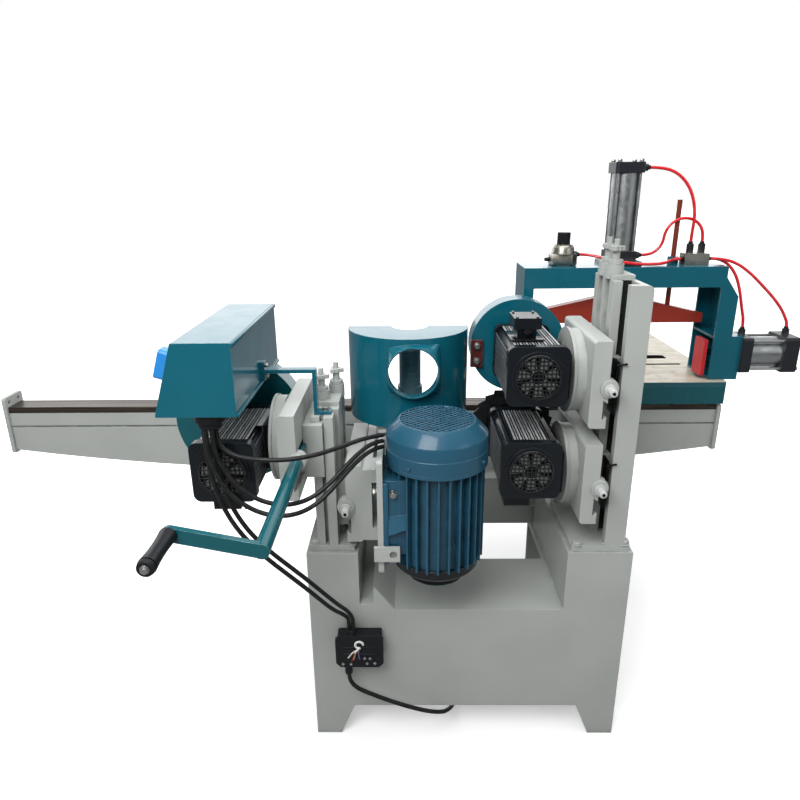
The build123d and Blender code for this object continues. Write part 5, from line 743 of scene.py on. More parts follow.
class TENONER_OT_paint(bpy.types.Operator):
    """Gives every solid of the machine its finish"""
    bl_idname = "tenoner.paint"
    bl_label = "Paint the machine"

    def execute(self, context):
        colours = context.scene.tenoner_colours
        self.frame_and_slides(colours.grey)
        self.sheet_metal(colours)
        self.square_motors(colours.black)
        self.round_motor(colours.blue)
        self.table_and_clamps(colours)
        self.small_parts(colours.handle)
        return {"FINISHED"}

    def frame_and_slides(self, colour):
        """Grey enamel on castings and welded plate, with a thin dark strip of painted shade in the recess of
        the right column's ways.
        """
        # Paler edges and darker corners: partly worn paint and soiling, partly painted highlight and painted
        # shade
        grime_and_shade = linear("4C4C46")
        wear_and_painted_light = linear("DADDDA"), grime_and_shade
        looks = {"rough": 0.4, "coat": 0.1, "peel": 0.05}
        grey = enamel("grey_enamel_on_steel", colour, *wear_and_painted_light, **looks)
        paint_nodes(grey, "base_frame", "left_column", "spindle_housing", "motor_plate", "rail_beam")
        for head in ("upper", "lower", "left", "centre"):
            paint_nodes(grey, head + "_slide", head + "_saddle", head + "_lift_screw")
        # A thin dark strip on the right column: painted shade in the recess between way and flange
        recess_shade = zone("17191B", 0.2, 0.35, ("X", 299.5, 350), ("Y", -131.5, -128.5))
        ways = enamel("grey_enamel_and_recess_shade", colour, *wear_and_painted_light, **looks, zones=[recess_shade])
        paint_nodes(ways, "right_column")
        # Its paler edge and darker corner colours: partly worn paint and soiling, partly painted highlight
        # and painted shade
        screws = enamel("pale_screw_enamel", linear("CDD0CE"), linear("E4E6E4"), grime_and_shade,
                        rough=0.42, coat=0.2, peel=0.03)
        paint_nodes(screws, "upper_feed_screw", "lower_feed_screw", "centre_feed_screw")
        paint_nodes(oiled_guide("oiled_guide_steel", linear("2A2521")), "rail_guide", "guide_shoes")

    def sheet_metal(self, colours):
        """Teal gloss with a red-brown lug on the saw hood, and darker teal on guard, carriage and crank."""
        # Paler edges and darker corners: partly worn paint and soiling, partly painted highlight and painted
        # shade
        wear_and_painted_light = linear("6FA4B0"), linear("0A2A33")
        looks = {"rough": 0.22, "coat": 0.35, "peel": 0.02}
        teal = enamel("teal_gloss_enamel", colours.teal, *wear_and_painted_light, **looks)
        paint_nodes(teal, "control_box", "cutter_hood", "portal", "box_bracket")
        lug = zone("5B1C17", 0.0, 0.4, ("X", 10, 45), ("Y", 28, 39.9))
        hood = enamel("teal_hood_enamel", colours.teal, *wear_and_painted_light, **looks, zones=[lug])
        paint_nodes(hood, "saw_hood")
        # Its paler edge and darker corner colours: partly worn paint and soiling, partly painted highlight
        # and painted shade
        dark_teal = enamel("dark_teal_enamel", colours.dark_teal, linear("6FA4A8"), linear("0A2A2E"),
                           rough=0.24, coat=0.3, peel=0.02)
        paint_nodes(dark_teal, "blade_guard", "table_carriage", "crank")

    def square_motors(self, colour):
        """Black enamel with a painted highlight on the fin tips, pale on top and bottom and dimmer on the
        sides, and turned rotors with pale fans.
        """
        for head, (axis_x, axis_z, face, bright) in MOTOR_PLACES.items():
            # Painted highlight on the fin tips: pale grey on the top and bottom fins, mid grey on the side
            # fins, as the light falls
            fins = ("Y", face + FIN_HIGHLIGHT_RUN[0], face + FIN_HIGHLIGHT_RUN[1])
            middle = ("X", axis_x - bright, axis_x + bright)
            tips = [zone("C4C6C6", 0.3, 0.35, fins, middle, ("Z", axis_z + low, axis_z + high))
                    for low, high in FIN_HIGHLIGHT_TIPS]
            tips += [zone("6A6E72", 0.3, 0.4, fins, ("X", axis_x + low, axis_x + high))
                     for low, high in FIN_HIGHLIGHT_TIPS]
            # Its paler edge and darker corner colours: partly worn paint and soiling, partly painted
            # highlight and painted shade
            black = enamel("black_" + head + "_motor_enamel", colour, linear("3C424A"), linear("050608"),
                           rough=0.3, coat=0.25, peel=0.04, zones=tips, gloss=0.15)
            paint_nodes(black, head + "_motor")
            fan = zone("C9CBC6", 0.0, 0.5, ("Y", face, face + ROTOR_FAN_DEPTH))
            rotor = ground_steel(head + "_rotor_steel_and_fan", linear("A7A9AA"), 0.35, [fan])
            paint_nodes(rotor, head + "_rotor")
        blades = ground_steel("saw_plate_steel", linear("4A4C4E"), 0.38)
        paint_nodes(blades, "upper_blade", "lower_blade", "left_blade")

    def round_motor(self, colour):
        """Blue enamel with a black lower end, the spindle that it drives and their belt."""
        lower_end = zone("15171A", 0.0, 0.45, ("Z", 500, 533))
        # Its paler edge and darker corner colours: partly worn paint and soiling, partly painted highlight
        # and painted shade
        blue = enamel("blue_motor_enamel", colour, linear("5B86A0"), linear("0C1A25"),
                      rough=0.36, coat=0.3, peel=0.05, zones=[lower_end])
        paint_nodes(blue, "blue_motor", "blue_motor_cover")
        # Its paler edge and darker corner colours: partly worn paint and soiling, partly painted highlight
        # and painted shade
        spindle = enamel("spindle_steel_under_oil", linear("6E8E94"), linear("B9CBCE"), linear("1C2B30"),
                         rough=0.35, coat=0.2, peel=0.03)
        paint_nodes(spindle, "spindle", "spacer_rings", "blue_rotor")
        paint_nodes(moulded_plastic("belt_rubber", linear("1A1A1A"), 0.7), "drive_belt")

    def table_and_clamps(self, colours):
        """Worn cream table, red clamps on bright rods, and aluminium air parts with black ends."""
        table = worn_table_paint("worn_cream_table_paint", colours.cream, colours.dark_teal)
        paint_nodes(table, "table_top")
        # Pale edges and dark red-brown corners of the clamps: partly worn paint and soiling, partly painted
        # highlight and painted shade
        grime_and_shade = linear("3A100A")
        piston = zone("C9CCCE", 1.0, 0.12, ("X", 415, 447), ("Z", 1003.5, 1400))
        guide_rod = zone("8A3B2A", 0.35, 0.4, ("X", 565, 590), ("Z", 1000, 1400))
        beam = enamel("clamp_enamel_and_rods", colours.red, linear("D9826E"), grime_and_shade,
                      rough=0.36, coat=0.4, peel=0.05, zones=[piston, guide_rod])
        paint_nodes(beam, "clamp_beam")
        pad_rod = zone("C9CCCE", 1.0, 0.15, ("X", 670.5, 900))
        # Its paler edge colour: partly worn paint, partly painted highlight
        pad = enamel("pad_enamel_and_rod", linear("D0262F"), linear("D9827C"), grime_and_shade,
                     rough=0.4, coat=0.1, peel=0.04, zones=[pad_rod])
        paint_nodes(pad, "side_pad")
        caps = [zone("151A22", 0.0, 0.42, *spans) for spans in CYLINDER_CAPS]
        cylinders = ground_steel("anodised_cylinder_aluminium", linear("A4A8A9"), 0.36, caps, 0.94)
        paint_nodes(cylinders, "air_cylinders")
        valve_top = zone("15171A", 0.0, 0.4, ("X", 600, 655), ("Z", 1115.5, 1140))
        outlet = zone("15171A", 0.0, 0.4, ("X", 299.5, 316))
        air = ground_steel("air_unit_aluminium", linear("B9B6AC"), 0.35, [valve_top, outlet])
        paint_nodes(air, "air_unit")

    def small_parts(self, handle_colour):
        """Moulded grips, boxes and knobs, and the finishes that only the added pieces take."""
        black = moulded_plastic("black_moulded_plastic", linear("17191C"))
        paint_nodes(black, "crank_grip", "cable_gland", "junction_box", "regulator_knob")
        paint_nodes(moulded_plastic("blue_moulded_handle", handle_colour, 0.3, 0.3), "switch_handle")
        moulded_plastic("fan_plastic", linear("6C6F6B"), 0.5)
        moulded_plastic("glossy_black_plastic", linear("111317"), 0.2, 0.6)
        ground_steel("zinc_plated_steel", linear("B4B6B2"), 0.35)
        ground_steel("blackened_steel", linear("2A2A2B"), 0.4)


class TENONER_OT_leads(bpy.types.Operator):
    """Hangs the control leads from the gland and lays the supply cable and its coil"""
    bl_idname = "tenoner.leads"
    bl_label = "Hang leads and supply cable"

    def execute(self, context):
        sizes = context.scene.tenoner_sizes
        sheath = cord_sheath("black_cable_sheath", context.scene.tenoner_colours.rubber, 0.45)
        for name, (length, route) in CONTROL_LEADS.items():
            lead = add_cord(name, route, sizes.lead, sheath, "frame")
            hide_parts("control_leads")
        route = SUPPLY_ROUTE + coil_points()
        supply = add_cord("supply_lead", route, sizes.supply, sheath, "frame")
        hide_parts("supply_cable", "supply_coil")
        return {"FINISHED"}


class TENONER_OT_hoses(bpy.types.Operator):
    """Runs the red air hoses between the valve, the regulator and the cylinders"""
    bl_idname = "tenoner.hoses"
    bl_label = "Run air hoses"

    def execute(self, context):
        diameter = context.scene.tenoner_sizes.hose
        plastic = clear_hose("red_polyurethane_hose", context.scene.tenoner_colours.hose)
        for name, (length, route) in AIR_HOSES.items():
            hose = add_cord(name, route, diameter, plastic, "table")
            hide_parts("air_hoses")
        return {"FINISHED"}


class TENONER_OT_foot_bolts(bpy.types.Operator):
    """Bolts the columns to the base and the control box to its bracket"""
    bl_idname = "tenoner.foot_bolts"
    bl_label = "Bolt columns and bracket"

    def execute(self, context):
        sizes = context.scene.tenoner_sizes
        bm = bmesh.new()
        for x, y, rise in FOOT_BOLTS:
            add_bolt(bm, point(x, y, FOOT_TOP), UP, sizes.foot_bolt, rise * MM)
        add_socket_screw(bm, point(*COLUMN_DOWEL, FOOT_TOP), UP, sizes.cover_screw)
        add_piece("column_foot_bolts", bm, finish("grey_enamel_on_steel"), "frame")
        bm = bmesh.new()
        add_bolt(bm, point(*BRACKET_FOOT), UP, sizes.small_bolt, BRACKET_FOOT_RISE * MM)
        for z in BRACKET_FLANGE_Z:
            add_bolt(bm, point(BRACKET_FLANGE_X, BRACKET_FOOT[1], z), RIGHT, sizes.cover_screw)
        add_piece("box_bracket_bolts", bm, finish("zinc_plated_steel"), "frame")
        return {"FINISHED"}


class TENONER_OT_gibs(bpy.types.Operator):
    """Fits the dark gib strips of the right-hand saddles and their tee lock screws"""
    bl_idname = "tenoner.gibs"
    bl_label = "Fit gibs and lock screws"

    def execute(self, context):
        middle = (GIB_X[0] + GIB_X[1]) / 2
        for head, (low, high) in GIB_Z.items():
            bm = bmesh.new()
            add_block(bm, point(GIB_X[0], GIB_Y[0], low), point(GIB_X[1], GIB_Y[1], high), MM)
            for share in GIB_SCREW_SHARES:
                place = point(middle, GIB_Y[0], low + share * (high - low))
                add_socket_screw(bm, place, FRONT, GIB_SCREW * MM)
            shank = point(middle, GIB_Y[0], high - LOCK_DROP)
            add_rod(bm, shank, FRONT, LOCK_SHANK_R * MM, LOCK_SHANK * MM, 16)
            bar = shank + FRONT * LOCK_BAR_OUT * MM + LEFT * LOCK_BAR_LEFT * MM
            add_rod(bm, bar, LOCK_BAR_AXIS, LOCK_BAR_R * MM, LOCK_BAR * MM, 16, chamfer=0.6 * MM)
            add_piece(head + "_gib", bm, finish("blackened_steel"), head + "_carrier")
        return {"FINISHED"}


class TENONER_OT_fine_fins(bpy.types.Operator):
    """Sets thin fins between the deep ones of each square motor"""
    bl_idname = "tenoner.fine_fins"
    bl_label = "Set fine fins"

    def execute(self, context):
        half = FINE_FIN_T / 2
        for head, (axis_x, axis_z, face, _) in MOTOR_PLACES.items():
            bm = bmesh.new()
            start, end = face + FIN_RUN[0], face + FIN_RUN[1]
            for step in range(-FINE_FIN_STEPS, FINE_FIN_STEPS + 1):
                x = axis_x + step * FINE_FIN_PITCH
                z = axis_z + step * FINE_FIN_PITCH
                for low, high in ((FIN_ROOT, FIN_TIP), (-FIN_TIP, -FIN_ROOT)):
                    add_block(bm, point(x - half, start, axis_z + low), point(x + half, end, axis_z + high))
                    add_block(bm, point(axis_x + low, start, z - half), point(axis_x + high, end, z + half))
            # The motor enamel lays its painted highlight on these fins' tips too
            paint = finish("black_" + head + "_motor_enamel")
            add_piece(head + "_fine_fins", bm, paint, head + "_head")
        return {"FINISHED"}


class TENONER_OT_fan_guards(bpy.types.Operator):
    """Puts a round wire guard on each square motor's cover, with the pale fan behind it"""
    bl_idname = "tenoner.fan_guards"
    bl_label = "Fit fan guards"

    def execute(self, context):
        sizes = context.scene.tenoner_sizes
        for head in SQUARE_MOTORS:
            centre = cover_centre(head)
            self.guard(head, centre, sizes.guard_wire / 2, sizes.guard_pitch)
            self.fan(head, centre)
        return {"FINISHED"}

    def guard(self, head, centre, radius, pitch):
        """A ring of wire with rows and columns of thinner wire across it."""
        bm = bmesh.new()
        reach = GUARD_R * MM
        add_ring(bm, centre + FRONT * GUARD_RIM_OUT * MM, FRONT, reach, GUARD_RIM_R * MM)
        rows = centre + FRONT * GUARD_ROWS_OUT * MM
        columns = centre + FRONT * GUARD_COLUMNS_OUT * MM
        count = int(reach // pitch)
        for step in range(-count, count + 1):
            offset = step * pitch
            half = math.sqrt(reach ** 2 - offset ** 2)
            add_rod(bm, rows + UP * offset + LEFT * half, RIGHT, radius, 2 * half, 8)
            add_rod(bm, columns + RIGHT * offset + DOWN * half, UP, radius, 2 * half, 8)
        wire = finish("glossy_black_plastic")
        add_piece(head + "_fan_guard", bm, wire, head + "_head")

    def fan(self, head, centre):
        """Flat blades round a hub, in the thin space between the cover and its guard."""
        bm = bmesh.new()
        turned = along_axis(centre + FRONT * FAN_OUT * MM, FRONT)
        add_ring(bm, centre + FRONT * FAN_HUB_OUT * MM, FRONT, FAN_HUB_R * MM, FAN_HUB_WIRE * MM)
        for blade in range(FAN_BLADES):
            before = set(bm.verts)
            add_block(bm, point(FAN_HUB_R, -FAN_ROOT_HALF, 0), point(FAN_TIP_R, FAN_ROOT_HALF, FAN_BLADE_T))
            new = [v for v in bm.verts if v not in before]
            tip = [v for v in new if v.co.x > (FAN_HUB_R + FAN_TIP_R) / 2 * MM]
            bmesh.ops.scale(bm, vec=(1, FAN_FLARE, 1), verts=tip)
            spread = Matrix.Rotation(2 * math.pi * (blade + FAN_START) / FAN_BLADES, 4, "Z")
            bmesh.ops.transform(bm, matrix=turned @ spread, verts=new)
        add_piece(head + "_fan", bm, finish("fan_plastic"), head + "_saw")


class TENONER_OT_cover_screws(bpy.types.Operator):
    """Screws down the terminal box lids, and adds the upper box's flange and cable entry"""
    bl_idname = "tenoner.cover_screws"
    bl_label = "Screw down covers"

    def execute(self, context):
        width = context.scene.tenoner_sizes.cover_screw * LID_SCREW_SHARE
        for head, (lid_x, lid_y, lid_z, facing) in SQUARE_MOTORS.items():
            bm = bmesh.new()
            for x in lid_x:
                for y in lid_y:
                    add_socket_screw(bm, point(x, y, lid_z), facing, width)
            steel = finish("zinc_plated_steel")
            add_piece(head + "_lid_screws", bm, steel, head + "_head")
        bm = bmesh.new()
        for low, high in (TERMINAL_FLANGE, ENTRY_PLATE):
            add_block(bm, point(*low), point(*high), MM)
        add_rod(bm, point(*ENTRY_BOSS), FRONT, ENTRY_BOSS_R * MM, ENTRY_BOSS_L * MM, 20, chamfer=MM)
        plastic = finish("glossy_black_plastic")
        add_piece("upper_terminal_flange", bm, plastic, "upper_head")
        return {"FINISHED"}


class TENONER_OT_fan_cover(bpy.types.Operator):
    """Makes the round motor's pressed fan cover with its coned shoulder, woven top and screws, and a black
    disc under the top as painted shade inside
    """
    bl_idname = "tenoner.fan_cover"
    bl_label = "Make fan cover"

    def execute(self, context):
        low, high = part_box("blue_motor_cover")
        axis = (low + high) / 2
        reach = (high.x - low.x) / 2 / MM
        tall = (high.z - low.z) / MM
        profile = [(reach - inset, share * tall) for inset, share in COVER_SKIRT]
        profile += [(COVER_TOP_R + out, tall - drop) for out, drop in COVER_CROWN]
        profile.append((reach - COVER_INSIDE[0], COVER_INSIDE[1] * tall))
        bm = bmesh.new()
        add_turned(bm, Vector((axis.x, axis.y, low.z)), profile)
        top = Vector((axis.x, axis.y, high.z - COVER_BAR_DROP * MM))
        self.woven_top(bm, top)
        for quarter in range(4):
            angle = COVER_SCREW_ANGLE + quarter * math.pi / 2
            out = Vector((math.cos(angle), math.sin(angle), 0))
            place = Vector((axis.x, axis.y, low.z + COVER_SCREW_UP * MM)) + out * reach * MM
            add_socket_screw(bm, place, out, context.scene.tenoner_sizes.cover_screw)
        cover = add_piece("round_fan_cover", bm, finish("blue_motor_enamel"), "centre_head")
        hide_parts("blue_motor_cover")
        # A black disc under the woven top: painted shade inside the cover
        bm = bmesh.new()
        under = top + DOWN * SHADE_DISC_DROP * MM
        add_rod(bm, under, UP, (COVER_TOP_R - 1) * MM, SHADE_DISC_T * MM, 48, chamfer=0.5 * MM)
        add_piece("fan_cover_shade_disc", bm, finish("black_moulded_plastic"), "centre_head")
        return {"FINISHED"}

    def woven_top(self, bm, top):
        """Two crossing rows of bars inside the flat top's edge."""
        reach = COVER_TOP_R - COVER_BAR_EDGE
        count = int(COVER_TOP_R // COVER_MESH)
        for turn in COVER_BAR_TURNS:
            along = Vector((math.cos(turn), math.sin(turn), 0))
            side = Vector((-along.y, along.x, 0))
            for step in range(-count, count + 1):
                offset = step * COVER_MESH
                if abs(offset) < reach:
                    half = math.sqrt(reach ** 2 - offset ** 2)
                    start = top + side * offset * MM - along * half * MM
                    add_rod(bm, start, along, COVER_BAR_R * MM, 2 * half * MM, 8)


class TENONER_OT_motor_foot(bpy.types.Operator):
    """Adds the flange, gusset and bolts of the round motor's foot, and sockets in the feed screws' ends"""
    bl_idname = "tenoner.motor_foot"
    bl_label = "Add motor foot"

    def execute(self, context):
        size = context.scene.tenoner_sizes.small_bolt
        bm = bmesh.new()
        add_block(bm, point(*FOOT_FLANGE[0]), point(*FOOT_FLANGE[1]), 1.5 * MM)
        corners = [bm.verts.new(point(*corner)) for corner in GUSSET]
        for face in GUSSET_FACES:
            bm.faces.new([corners[i] for i in face])
        add_piece("motor_foot_gusset", bm, finish("blue_motor_enamel"), "centre_head")
        bm = bmesh.new()
        add_bolt(bm, point(*FLANGE_BOLT), FRONT, size, FLANGE_BOLT_RISE * MM)
        for z in PLATE_BOLT_Z:
            add_bolt(bm, point(*PLATE_BOLT, z), LEFT, size)
        add_piece("motor_foot_bolts", bm, finish("zinc_plated_steel"), "centre_head")
        for head in ("upper", "lower", "centre"):
            low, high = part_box(head + "_feed_screw")
            bm = bmesh.new()
            end = Vector(((low.x + high.x) / 2, low.y, (low.z + high.z) / 2))
            add_socket_screw(bm, end + BACK * FEED_SOCKET_SUNK * MM, FRONT, FEED_SOCKET * MM)
            add_piece(head + "_feed_socket", bm, finish("blackened_steel"), head + "_feed")
        return {"FINISHED"}


class TENONER_OT_hood_bolts(bpy.types.Operator):
    """Bolts the saw hood to its bracket and the crank's grip to its arm"""
    bl_idname = "tenoner.hood_bolts"
    bl_label = "Bolt hood and grip"

    def execute(self, context):
        size = context.scene.tenoner_sizes.small_bolt
        steel = finish("zinc_plated_steel")
        bm = bmesh.new()
        for z in HOOD_BOLT_Z:
            add_bolt(bm, point(*HOOD_BOLT, z), FRONT, size)
        add_piece("saw_hood_bolts", bm, steel, "upper_head")
        low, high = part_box("crank_grip")
        middle = (low + high) / 2
        end = Vector((middle.x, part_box("crank")[0].y, middle.z))
        bm = bmesh.new()
        add_rod(bm, end + BACK * GRIP_CAP_SUNK * MM, FRONT, GRIP_CAP_R[0] * MM, GRIP_CAP_L * MM, 32,
                end_radius=GRIP_CAP_R[1] * MM, chamfer=1.5 * MM)
        add_piece("grip_end_cap", bm, finish("black_moulded_plastic"), "left_crank")
        bm = bmesh.new()
        face = end + FRONT * GRIP_SCREW_OUT * MM
        add_bolt(bm, face, FRONT, size * GRIP_SCREW_SHARE, GRIP_SCREW_RISE * MM)
        add_piece("grip_end_screw", bm, steel, "left_crank")
        return {"FINISHED"}


class TENONER_OT_junction(bpy.types.Operator):
    """Makes the junction box with its open terminal plate, wires and glands"""
    bl_idname = "tenoner.junction"
    bl_label = "Make junction box"

    def execute(self, context):
        low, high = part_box("junction_box")
        bm = bmesh.new()
        side, behind, inside = CASE_IN
        case_low = Vector((low.x + side * MM, (PLATE_Y + behind) * MM, (PLATE_Z[0] + inside) * MM))
        case_high = Vector((high.x - side * MM, high.y, (PLATE_Z[1] - inside) * MM))
        add_block(bm, case_low, case_high, CASE_CHAMFER * MM)
        self.plate(bm)
        lead = point(*LEAD_GLAND, PLATE_Z[1] - GLAND_SUNK)
        add_rod(bm, lead, UP, LEAD_GLAND_R * MM, high.z - lead.z, 24, chamfer=GLAND_CHAMFER * MM)
        supply = point(*SUPPLY_GLAND, PLATE_Z[0] + GLAND_SUNK)
        add_rod(bm, supply, DOWN, SUPPLY_GLAND_R * MM, supply.z - low.z, 24, chamfer=GLAND_CHAMFER * MM)
        box = add_piece("terminal_box", bm, finish("black_moulded_plastic"), "frame")
        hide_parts("junction_box")
        self.wires()
        self.screws()
        return {"FINISHED"}

    def plate(self, bm):
        """Front plate with broad chamfers on its four corners, and ribs across its middle."""
        before = set(bm.verts)
        add_block(bm, point(PLATE_X[0], PLATE_Y, PLATE_Z[0]),
                  point(PLATE_X[1], PLATE_Y + PLATE_T, PLATE_Z[1]))
        edges = {e for v in bm.verts if v not in before for e in v.link_edges}
        corners = [e for e in edges if abs(e.verts[0].co.y - e.verts[1].co.y) > PLATE_T / 2 * MM]
        break_edges(bm, corners, PLATE_CHAMFER * MM, 1)
        for z in range(*RIB_RANGE, RIB_STEP):
            add_block(bm, point(PLATE_X[0] + RIB_END, PLATE_Y - RIB_OUT, z),
                      point(PLATE_X[1] - RIB_END, PLATE_Y + 1, z + RIB_H), 0.8 * MM)

    def wires(self):
        """A split grommet and the wires that fan out from it to the terminals."""
        bm = bmesh.new()
        hole = point(GROMMET[0], PLATE_Y - GROMMET_OUT, GROMMET[1])
        add_ring(bm, hole, FRONT, GROMMET_R * MM, GROMMET_WIRE * MM, GROMMET_TURN)
        white = moulded_plastic("white_grommet_plastic", linear("E8E9E6"))
        add_piece("wire_grommet", bm, white, "frame")
        for name, code, bend, end in WIRES:
            bm = bmesh.new()
            stops = [point(GROMMET[0], PLATE_Y - WIRE_OUT, GROMMET[1] - GROMMET_R),
                     point(bend[0], PLATE_Y - WIRE_BEND_OUT, bend[1]),
                     point(end[0], PLATE_Y - WIRE_OUT, end[1])]
            for first, second in zip(stops, stops[1:]):
                add_rod(bm, first, (second - first).normalized(), WIRE_R * MM, (second - first).length, 12)
            plastic = moulded_plastic(name + "_wire_plastic", linear(code))
            add_piece(name + "_wire", bm, plastic, "frame")

    def screws(self):
        """Round terminal screws, each with a raised bar for its slot."""
        bm = bmesh.new()
        long, wide = TERMINAL_SLOT
        outer, inner = TERMINAL_SLOT_OUT
        for x, z in TERMINAL_SCREWS:
            add_rod(bm, point(x, PLATE_Y, z), FRONT, TERMINAL_SCREW_R * MM, TERMINAL_SCREW_L * MM, 18,
                    chamfer=0.6 * MM)
            add_block(bm, point(x - long, PLATE_Y - outer, z - wide),
                      point(x + long, PLATE_Y - inner, z + wide))
        add_piece("terminal_screws", bm, finish("zinc_plated_steel"), "frame")


class TENONER_OT_air_fittings(bpy.types.Operator):
    """Fits the tie rod nuts of the air cylinders, the regulator's round body and the hoses' black collars"""
    bl_idname = "tenoner.air_fittings"
    bl_label = "Fit nuts and hose collars"

    def execute(self, context):
        flats = context.scene.tenoner_sizes.tie_nut
        corners = [(-1, -1), (-1, 1), (1, -1), (1, 1)]
        bm = bmesh.new()
        for across, along in corners:
            place = point(CLAMP_AXIS[0] + across * CLAMP_TIE, CLAMP_AXIS[1] + along * CLAMP_TIE, CLAMP_TOP)
            add_bolt(bm, place, UP, flats)
        for along, up in corners:
            place = point(SIDE_END, SIDE_AXIS[0] + along * SIDE_TIE, SIDE_AXIS[1] + up * SIDE_TIE)
            add_bolt(bm, place, RIGHT, flats)
        add_piece("tie_rod_nuts", bm, finish("zinc_plated_steel"), "table")
        x, y, z = REGULATOR
        half_length, half_width, height = REGULATOR_BASE
        bm = bmesh.new()
        for _, route in AIR_HOSES.values():
            self.collar(bm, point(*route[0]), point(*route[1]))
            self.collar(bm, point(*route[-1]), point(*route[-2]))
        add_rod(bm, point(x - half_length, y, z + INLET_UP), LEFT, INLET_R[0] * MM, INLET_L * MM, 20,
                end_radius=INLET_R[1] * MM, chamfer=MM)
        add_piece("hose_collars", bm, finish("black_moulded_plastic"), "table")
        bm = bmesh.new()
        add_block(bm, point(x - half_length, y - half_width, z),
                  point(x + half_length, y + half_width, z + height), 4 * MM)
        add_turned(bm, point(x, y, z), REGULATOR_BOWL)
        add_piece("regulator_body", bm, finish("air_unit_aluminium"), "table")
        return {"FINISHED"}

    def collar(self, bm, end, inner):
        """A tapered collar on a hose's end."""
        away = (inner - end).normalized()
        add_rod(bm, end - away * COLLAR_SUNK * MM, away, COLLAR_R[0] * MM, COLLAR_L * MM, 20,
                end_radius=COLLAR_R[1] * MM, chamfer=0.8 * MM)


class TENONER_OT_box_trim(bpy.types.Operator):
    """Turns the control box's long edges over"""
    bl_idname = "tenoner.box_trim"
    bl_label = "Trim control box"

    def execute(self, context):
        bm = bmesh.new()
        for low, high in BOX_EDGE_Z:
            add_block(bm, point(BOX_EDGE_X[0], BOX_EDGE_Y[0], low), point(BOX_EDGE_X[1], BOX_EDGE_Y[1], high),
                      BOX_EDGE_CHAMFER * MM)
        add_piece("box_edges", bm, finish("teal_gloss_enamel"), "frame")
        return {"FINISHED"}


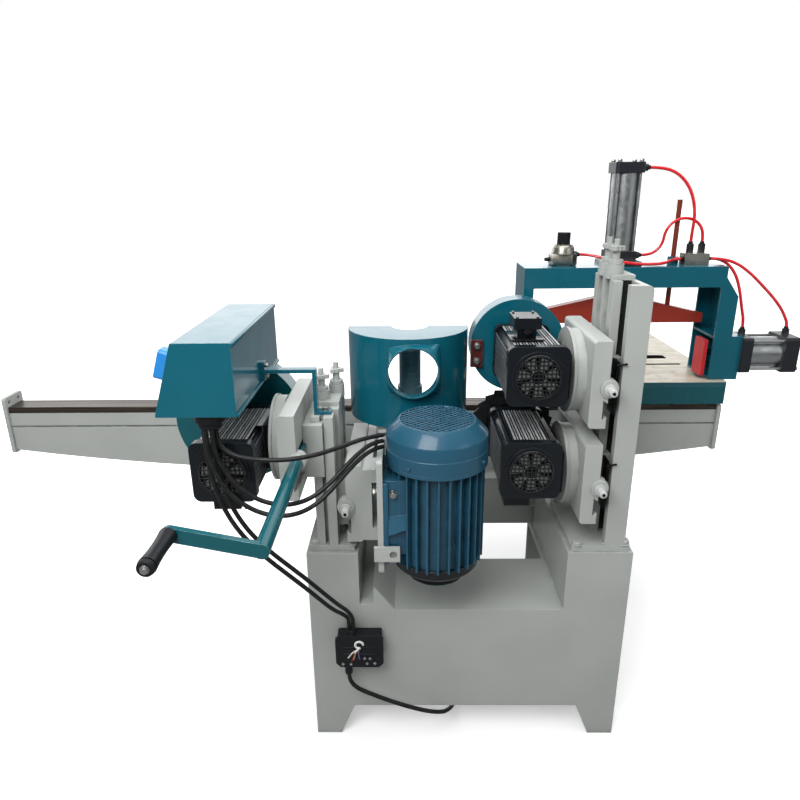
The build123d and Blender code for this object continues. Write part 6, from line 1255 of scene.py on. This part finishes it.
class TENONER_OT_stage(bpy.types.Operator):
    """Sets up the pale floor, the soft light and the camera"""
    bl_idname = "tenoner.stage"
    bl_label = "Set the stage"

    def execute(self, context):
        scene = context.scene
        self.camera(scene)
        self.floor(scene)
        self.sky(scene)
        self.lamps(scene)
        scene.view_settings.view_transform = "Standard"
        return {"FINISHED"}

    def camera(self, scene):
        """The photograph's viewpoint."""
        pitch, roll, yaw = (math.radians(angle) for angle in CAMERA_TURN)
        ahead = Vector((math.sin(yaw) * math.cos(pitch), math.cos(yaw) * math.cos(pitch), -math.sin(pitch)))
        level = Vector((math.cos(yaw), -math.sin(yaw), 0))
        upright = level.cross(ahead)
        right = math.cos(roll) * level + math.sin(roll) * upright
        up = math.cos(roll) * upright - math.sin(roll) * level
        data = bpy.data.cameras.new("camera")
        data.sensor_width = CAMERA_SENSOR
        data.lens = CAMERA_LENS
        camera = bpy.data.objects.new("camera", data)
        turn = Matrix((right, up, -ahead)).transposed().to_4x4()
        camera.matrix_world = Matrix.Translation(point(*CAMERA_PLACE)) @ turn
        scene.collection.objects.link(camera)
        scene.camera = camera

    def floor(self, scene):
        """A pale floor that glows to white away from the machine, and lights it little from below."""
        material, tree, coords = start_material("pale_floor")
        away = add_node(tree, "ShaderNodeVectorMath", {0: coords}, operation="LENGTH").outputs["Value"]
        glow = add_node(tree, "ShaderNodeMapRange", {
            "Value": away, "From Min": 0.5, "From Max": 1.6, "To Min": 0.3, "To Max": 1.0},
            interpolation_type="SMOOTHSTEP").outputs[0]
        seen = add_node(tree, "ShaderNodeLightPath").outputs["Is Camera Ray"]
        share = add_node(tree, "ShaderNodeMapRange", {"Value": seen, "To Min": 0.08, "To Max": 1.0})
        glow = add_node(tree, "ShaderNodeMath", {0: glow, 1: share.outputs[0]}, operation="MULTIPLY")
        base = blend_colour(tree, seen, (0.3, 0.3, 0.3), (0.88, 0.88, 0.88))
        end_material(tree, Base_Color=base, Roughness=0.9, Specular_IOR_Level=0.1,
                     Emission_Color=rgba((1, 1, 1)), Emission_Strength=glow.outputs[0])
        bm = bmesh.new()
        bmesh.ops.create_grid(bm, x_segments=1, y_segments=1, size=FLOOR_REACH)
        bmesh.ops.translate(bm, vec=point(0, 0, -FLOOR_DROP), verts=bm.verts)
        mesh = bpy.data.meshes.new("floor")
        bm.to_mesh(mesh)
        bm.free()
        mesh.materials.append(material)
        floor = bpy.data.objects.new("floor", mesh)
        scene.collection.objects.link(floor)

    def sky(self, scene):
        """White to the camera; to the machine, a dim ceiling and a bright wall behind it."""
        world = bpy.data.worlds.new("studio")
        world.use_nodes = True
        tree = world.node_tree
        tree.nodes.clear()
        heading = add_node(tree, "ShaderNodeTexCoord").outputs["Generated"]
        axes = add_node(tree, "ShaderNodeSeparateXYZ", {0: heading}).outputs
        behind = add_node(tree, "ShaderNodeMapRange", {"Value": axes[1], "From Min": 0.35, "From Max": 0.6})
        low = add_node(tree, "ShaderNodeMapRange", {"Value": axes[2], "From Min": 0.7, "From Max": 0.5})
        wall = add_node(tree, "ShaderNodeMath", {0: behind.outputs[0], 1: low.outputs[0]},
                        operation="MULTIPLY")
        ceiling = add_node(tree, "ShaderNodeMapRange", {
            "Value": axes[2], "From Min": 0.2, "From Max": 0.9, "To Min": 0.1, "To Max": 0.4}).outputs[0]
        strength = add_node(tree, "ShaderNodeMix", {0: wall.outputs[0], 2: ceiling, 3: 1.9}).outputs[0]
        seen = add_node(tree, "ShaderNodeLightPath").outputs["Is Camera Ray"]
        strength = add_node(tree, "ShaderNodeMix", {0: seen, 2: strength, 3: 1.0}).outputs[0]
        sky = add_node(tree, "ShaderNodeBackground", {"Color": rgba((1, 1, 1)), "Strength": strength})
        add_node(tree, "ShaderNodeOutputWorld", {"Surface": sky.outputs[0]})
        scene.world = world

    def lamps(self, scene):
        """Soft square lamps, all turned to the middle of the machine."""
        aim = point(*LAMP_AIM)
        for name, place, size, power in LAMPS:
            data = bpy.data.lights.new(name, "AREA")
            data.size = size
            data.energy = power
            lamp = bpy.data.objects.new(name, data)
            lamp.location = point(*place)
            lamp.rotation_euler = (aim - lamp.location).to_track_quat("-Z", "Y").to_euler()
            scene.collection.objects.link(lamp)


class TENONER_PT_panel(bpy.types.Panel):
    """Lists the machine's operators and settings"""
    bl_idname = "TENONER_PT_panel"
    bl_label = "Tenoning machine"
    bl_space_type = "VIEW_3D"
    bl_region_type = "UI"
    bl_category = "Tenoner"

    def draw(self, context):
        for operator in OPERATORS:
            self.layout.operator(operator.bl_idname)
        for group in (context.scene.tenoner_colours, context.scene.tenoner_sizes):
            for name in group.__annotations__:
                self.layout.prop(group, name)


OPERATORS = (TENONER_OT_stage, TENONER_OT_leads, TENONER_OT_hoses, TENONER_OT_paint, TENONER_OT_foot_bolts,
             TENONER_OT_gibs, TENONER_OT_fine_fins, TENONER_OT_fan_guards, TENONER_OT_cover_screws,
             TENONER_OT_fan_cover, TENONER_OT_motor_foot, TENONER_OT_hood_bolts, TENONER_OT_junction,
             TENONER_OT_air_fittings, TENONER_OT_box_trim)
CLASSES = (TENONER_PG_colours, TENONER_PG_sizes, *OPERATORS, TENONER_PT_panel)


def register():
    """Registers the classes, and hangs the settings on the scene."""
    for cls in CLASSES:
        bpy.utils.register_class(cls)
    bpy.types.Scene.tenoner_colours = PointerProperty(type=TENONER_PG_colours)
    bpy.types.Scene.tenoner_sizes = PointerProperty(type=TENONER_PG_sizes)


def unregister():
    """Takes away what register added."""
    del bpy.types.Scene.tenoner_sizes
    del bpy.types.Scene.tenoner_colours
    for cls in reversed(CLASSES):
        bpy.utils.unregister_class(cls)


def main():
    """Builds the scene in order."""
    register()
    bpy.ops.tenoner.stage()
    bpy.ops.tenoner.leads()
    bpy.ops.tenoner.hoses()
    bpy.ops.tenoner.paint()
    bpy.ops.tenoner.foot_bolts()
    bpy.ops.tenoner.gibs()
    bpy.ops.tenoner.fine_fins()
    bpy.ops.tenoner.fan_guards()
    bpy.ops.tenoner.cover_screws()
    bpy.ops.tenoner.fan_cover()
    bpy.ops.tenoner.motor_foot()
    bpy.ops.tenoner.hood_bolts()
    bpy.ops.tenoner.junction()
    bpy.ops.tenoner.air_fittings()
    bpy.ops.tenoner.box_trim()


if __name__ == "__main__":
    main()
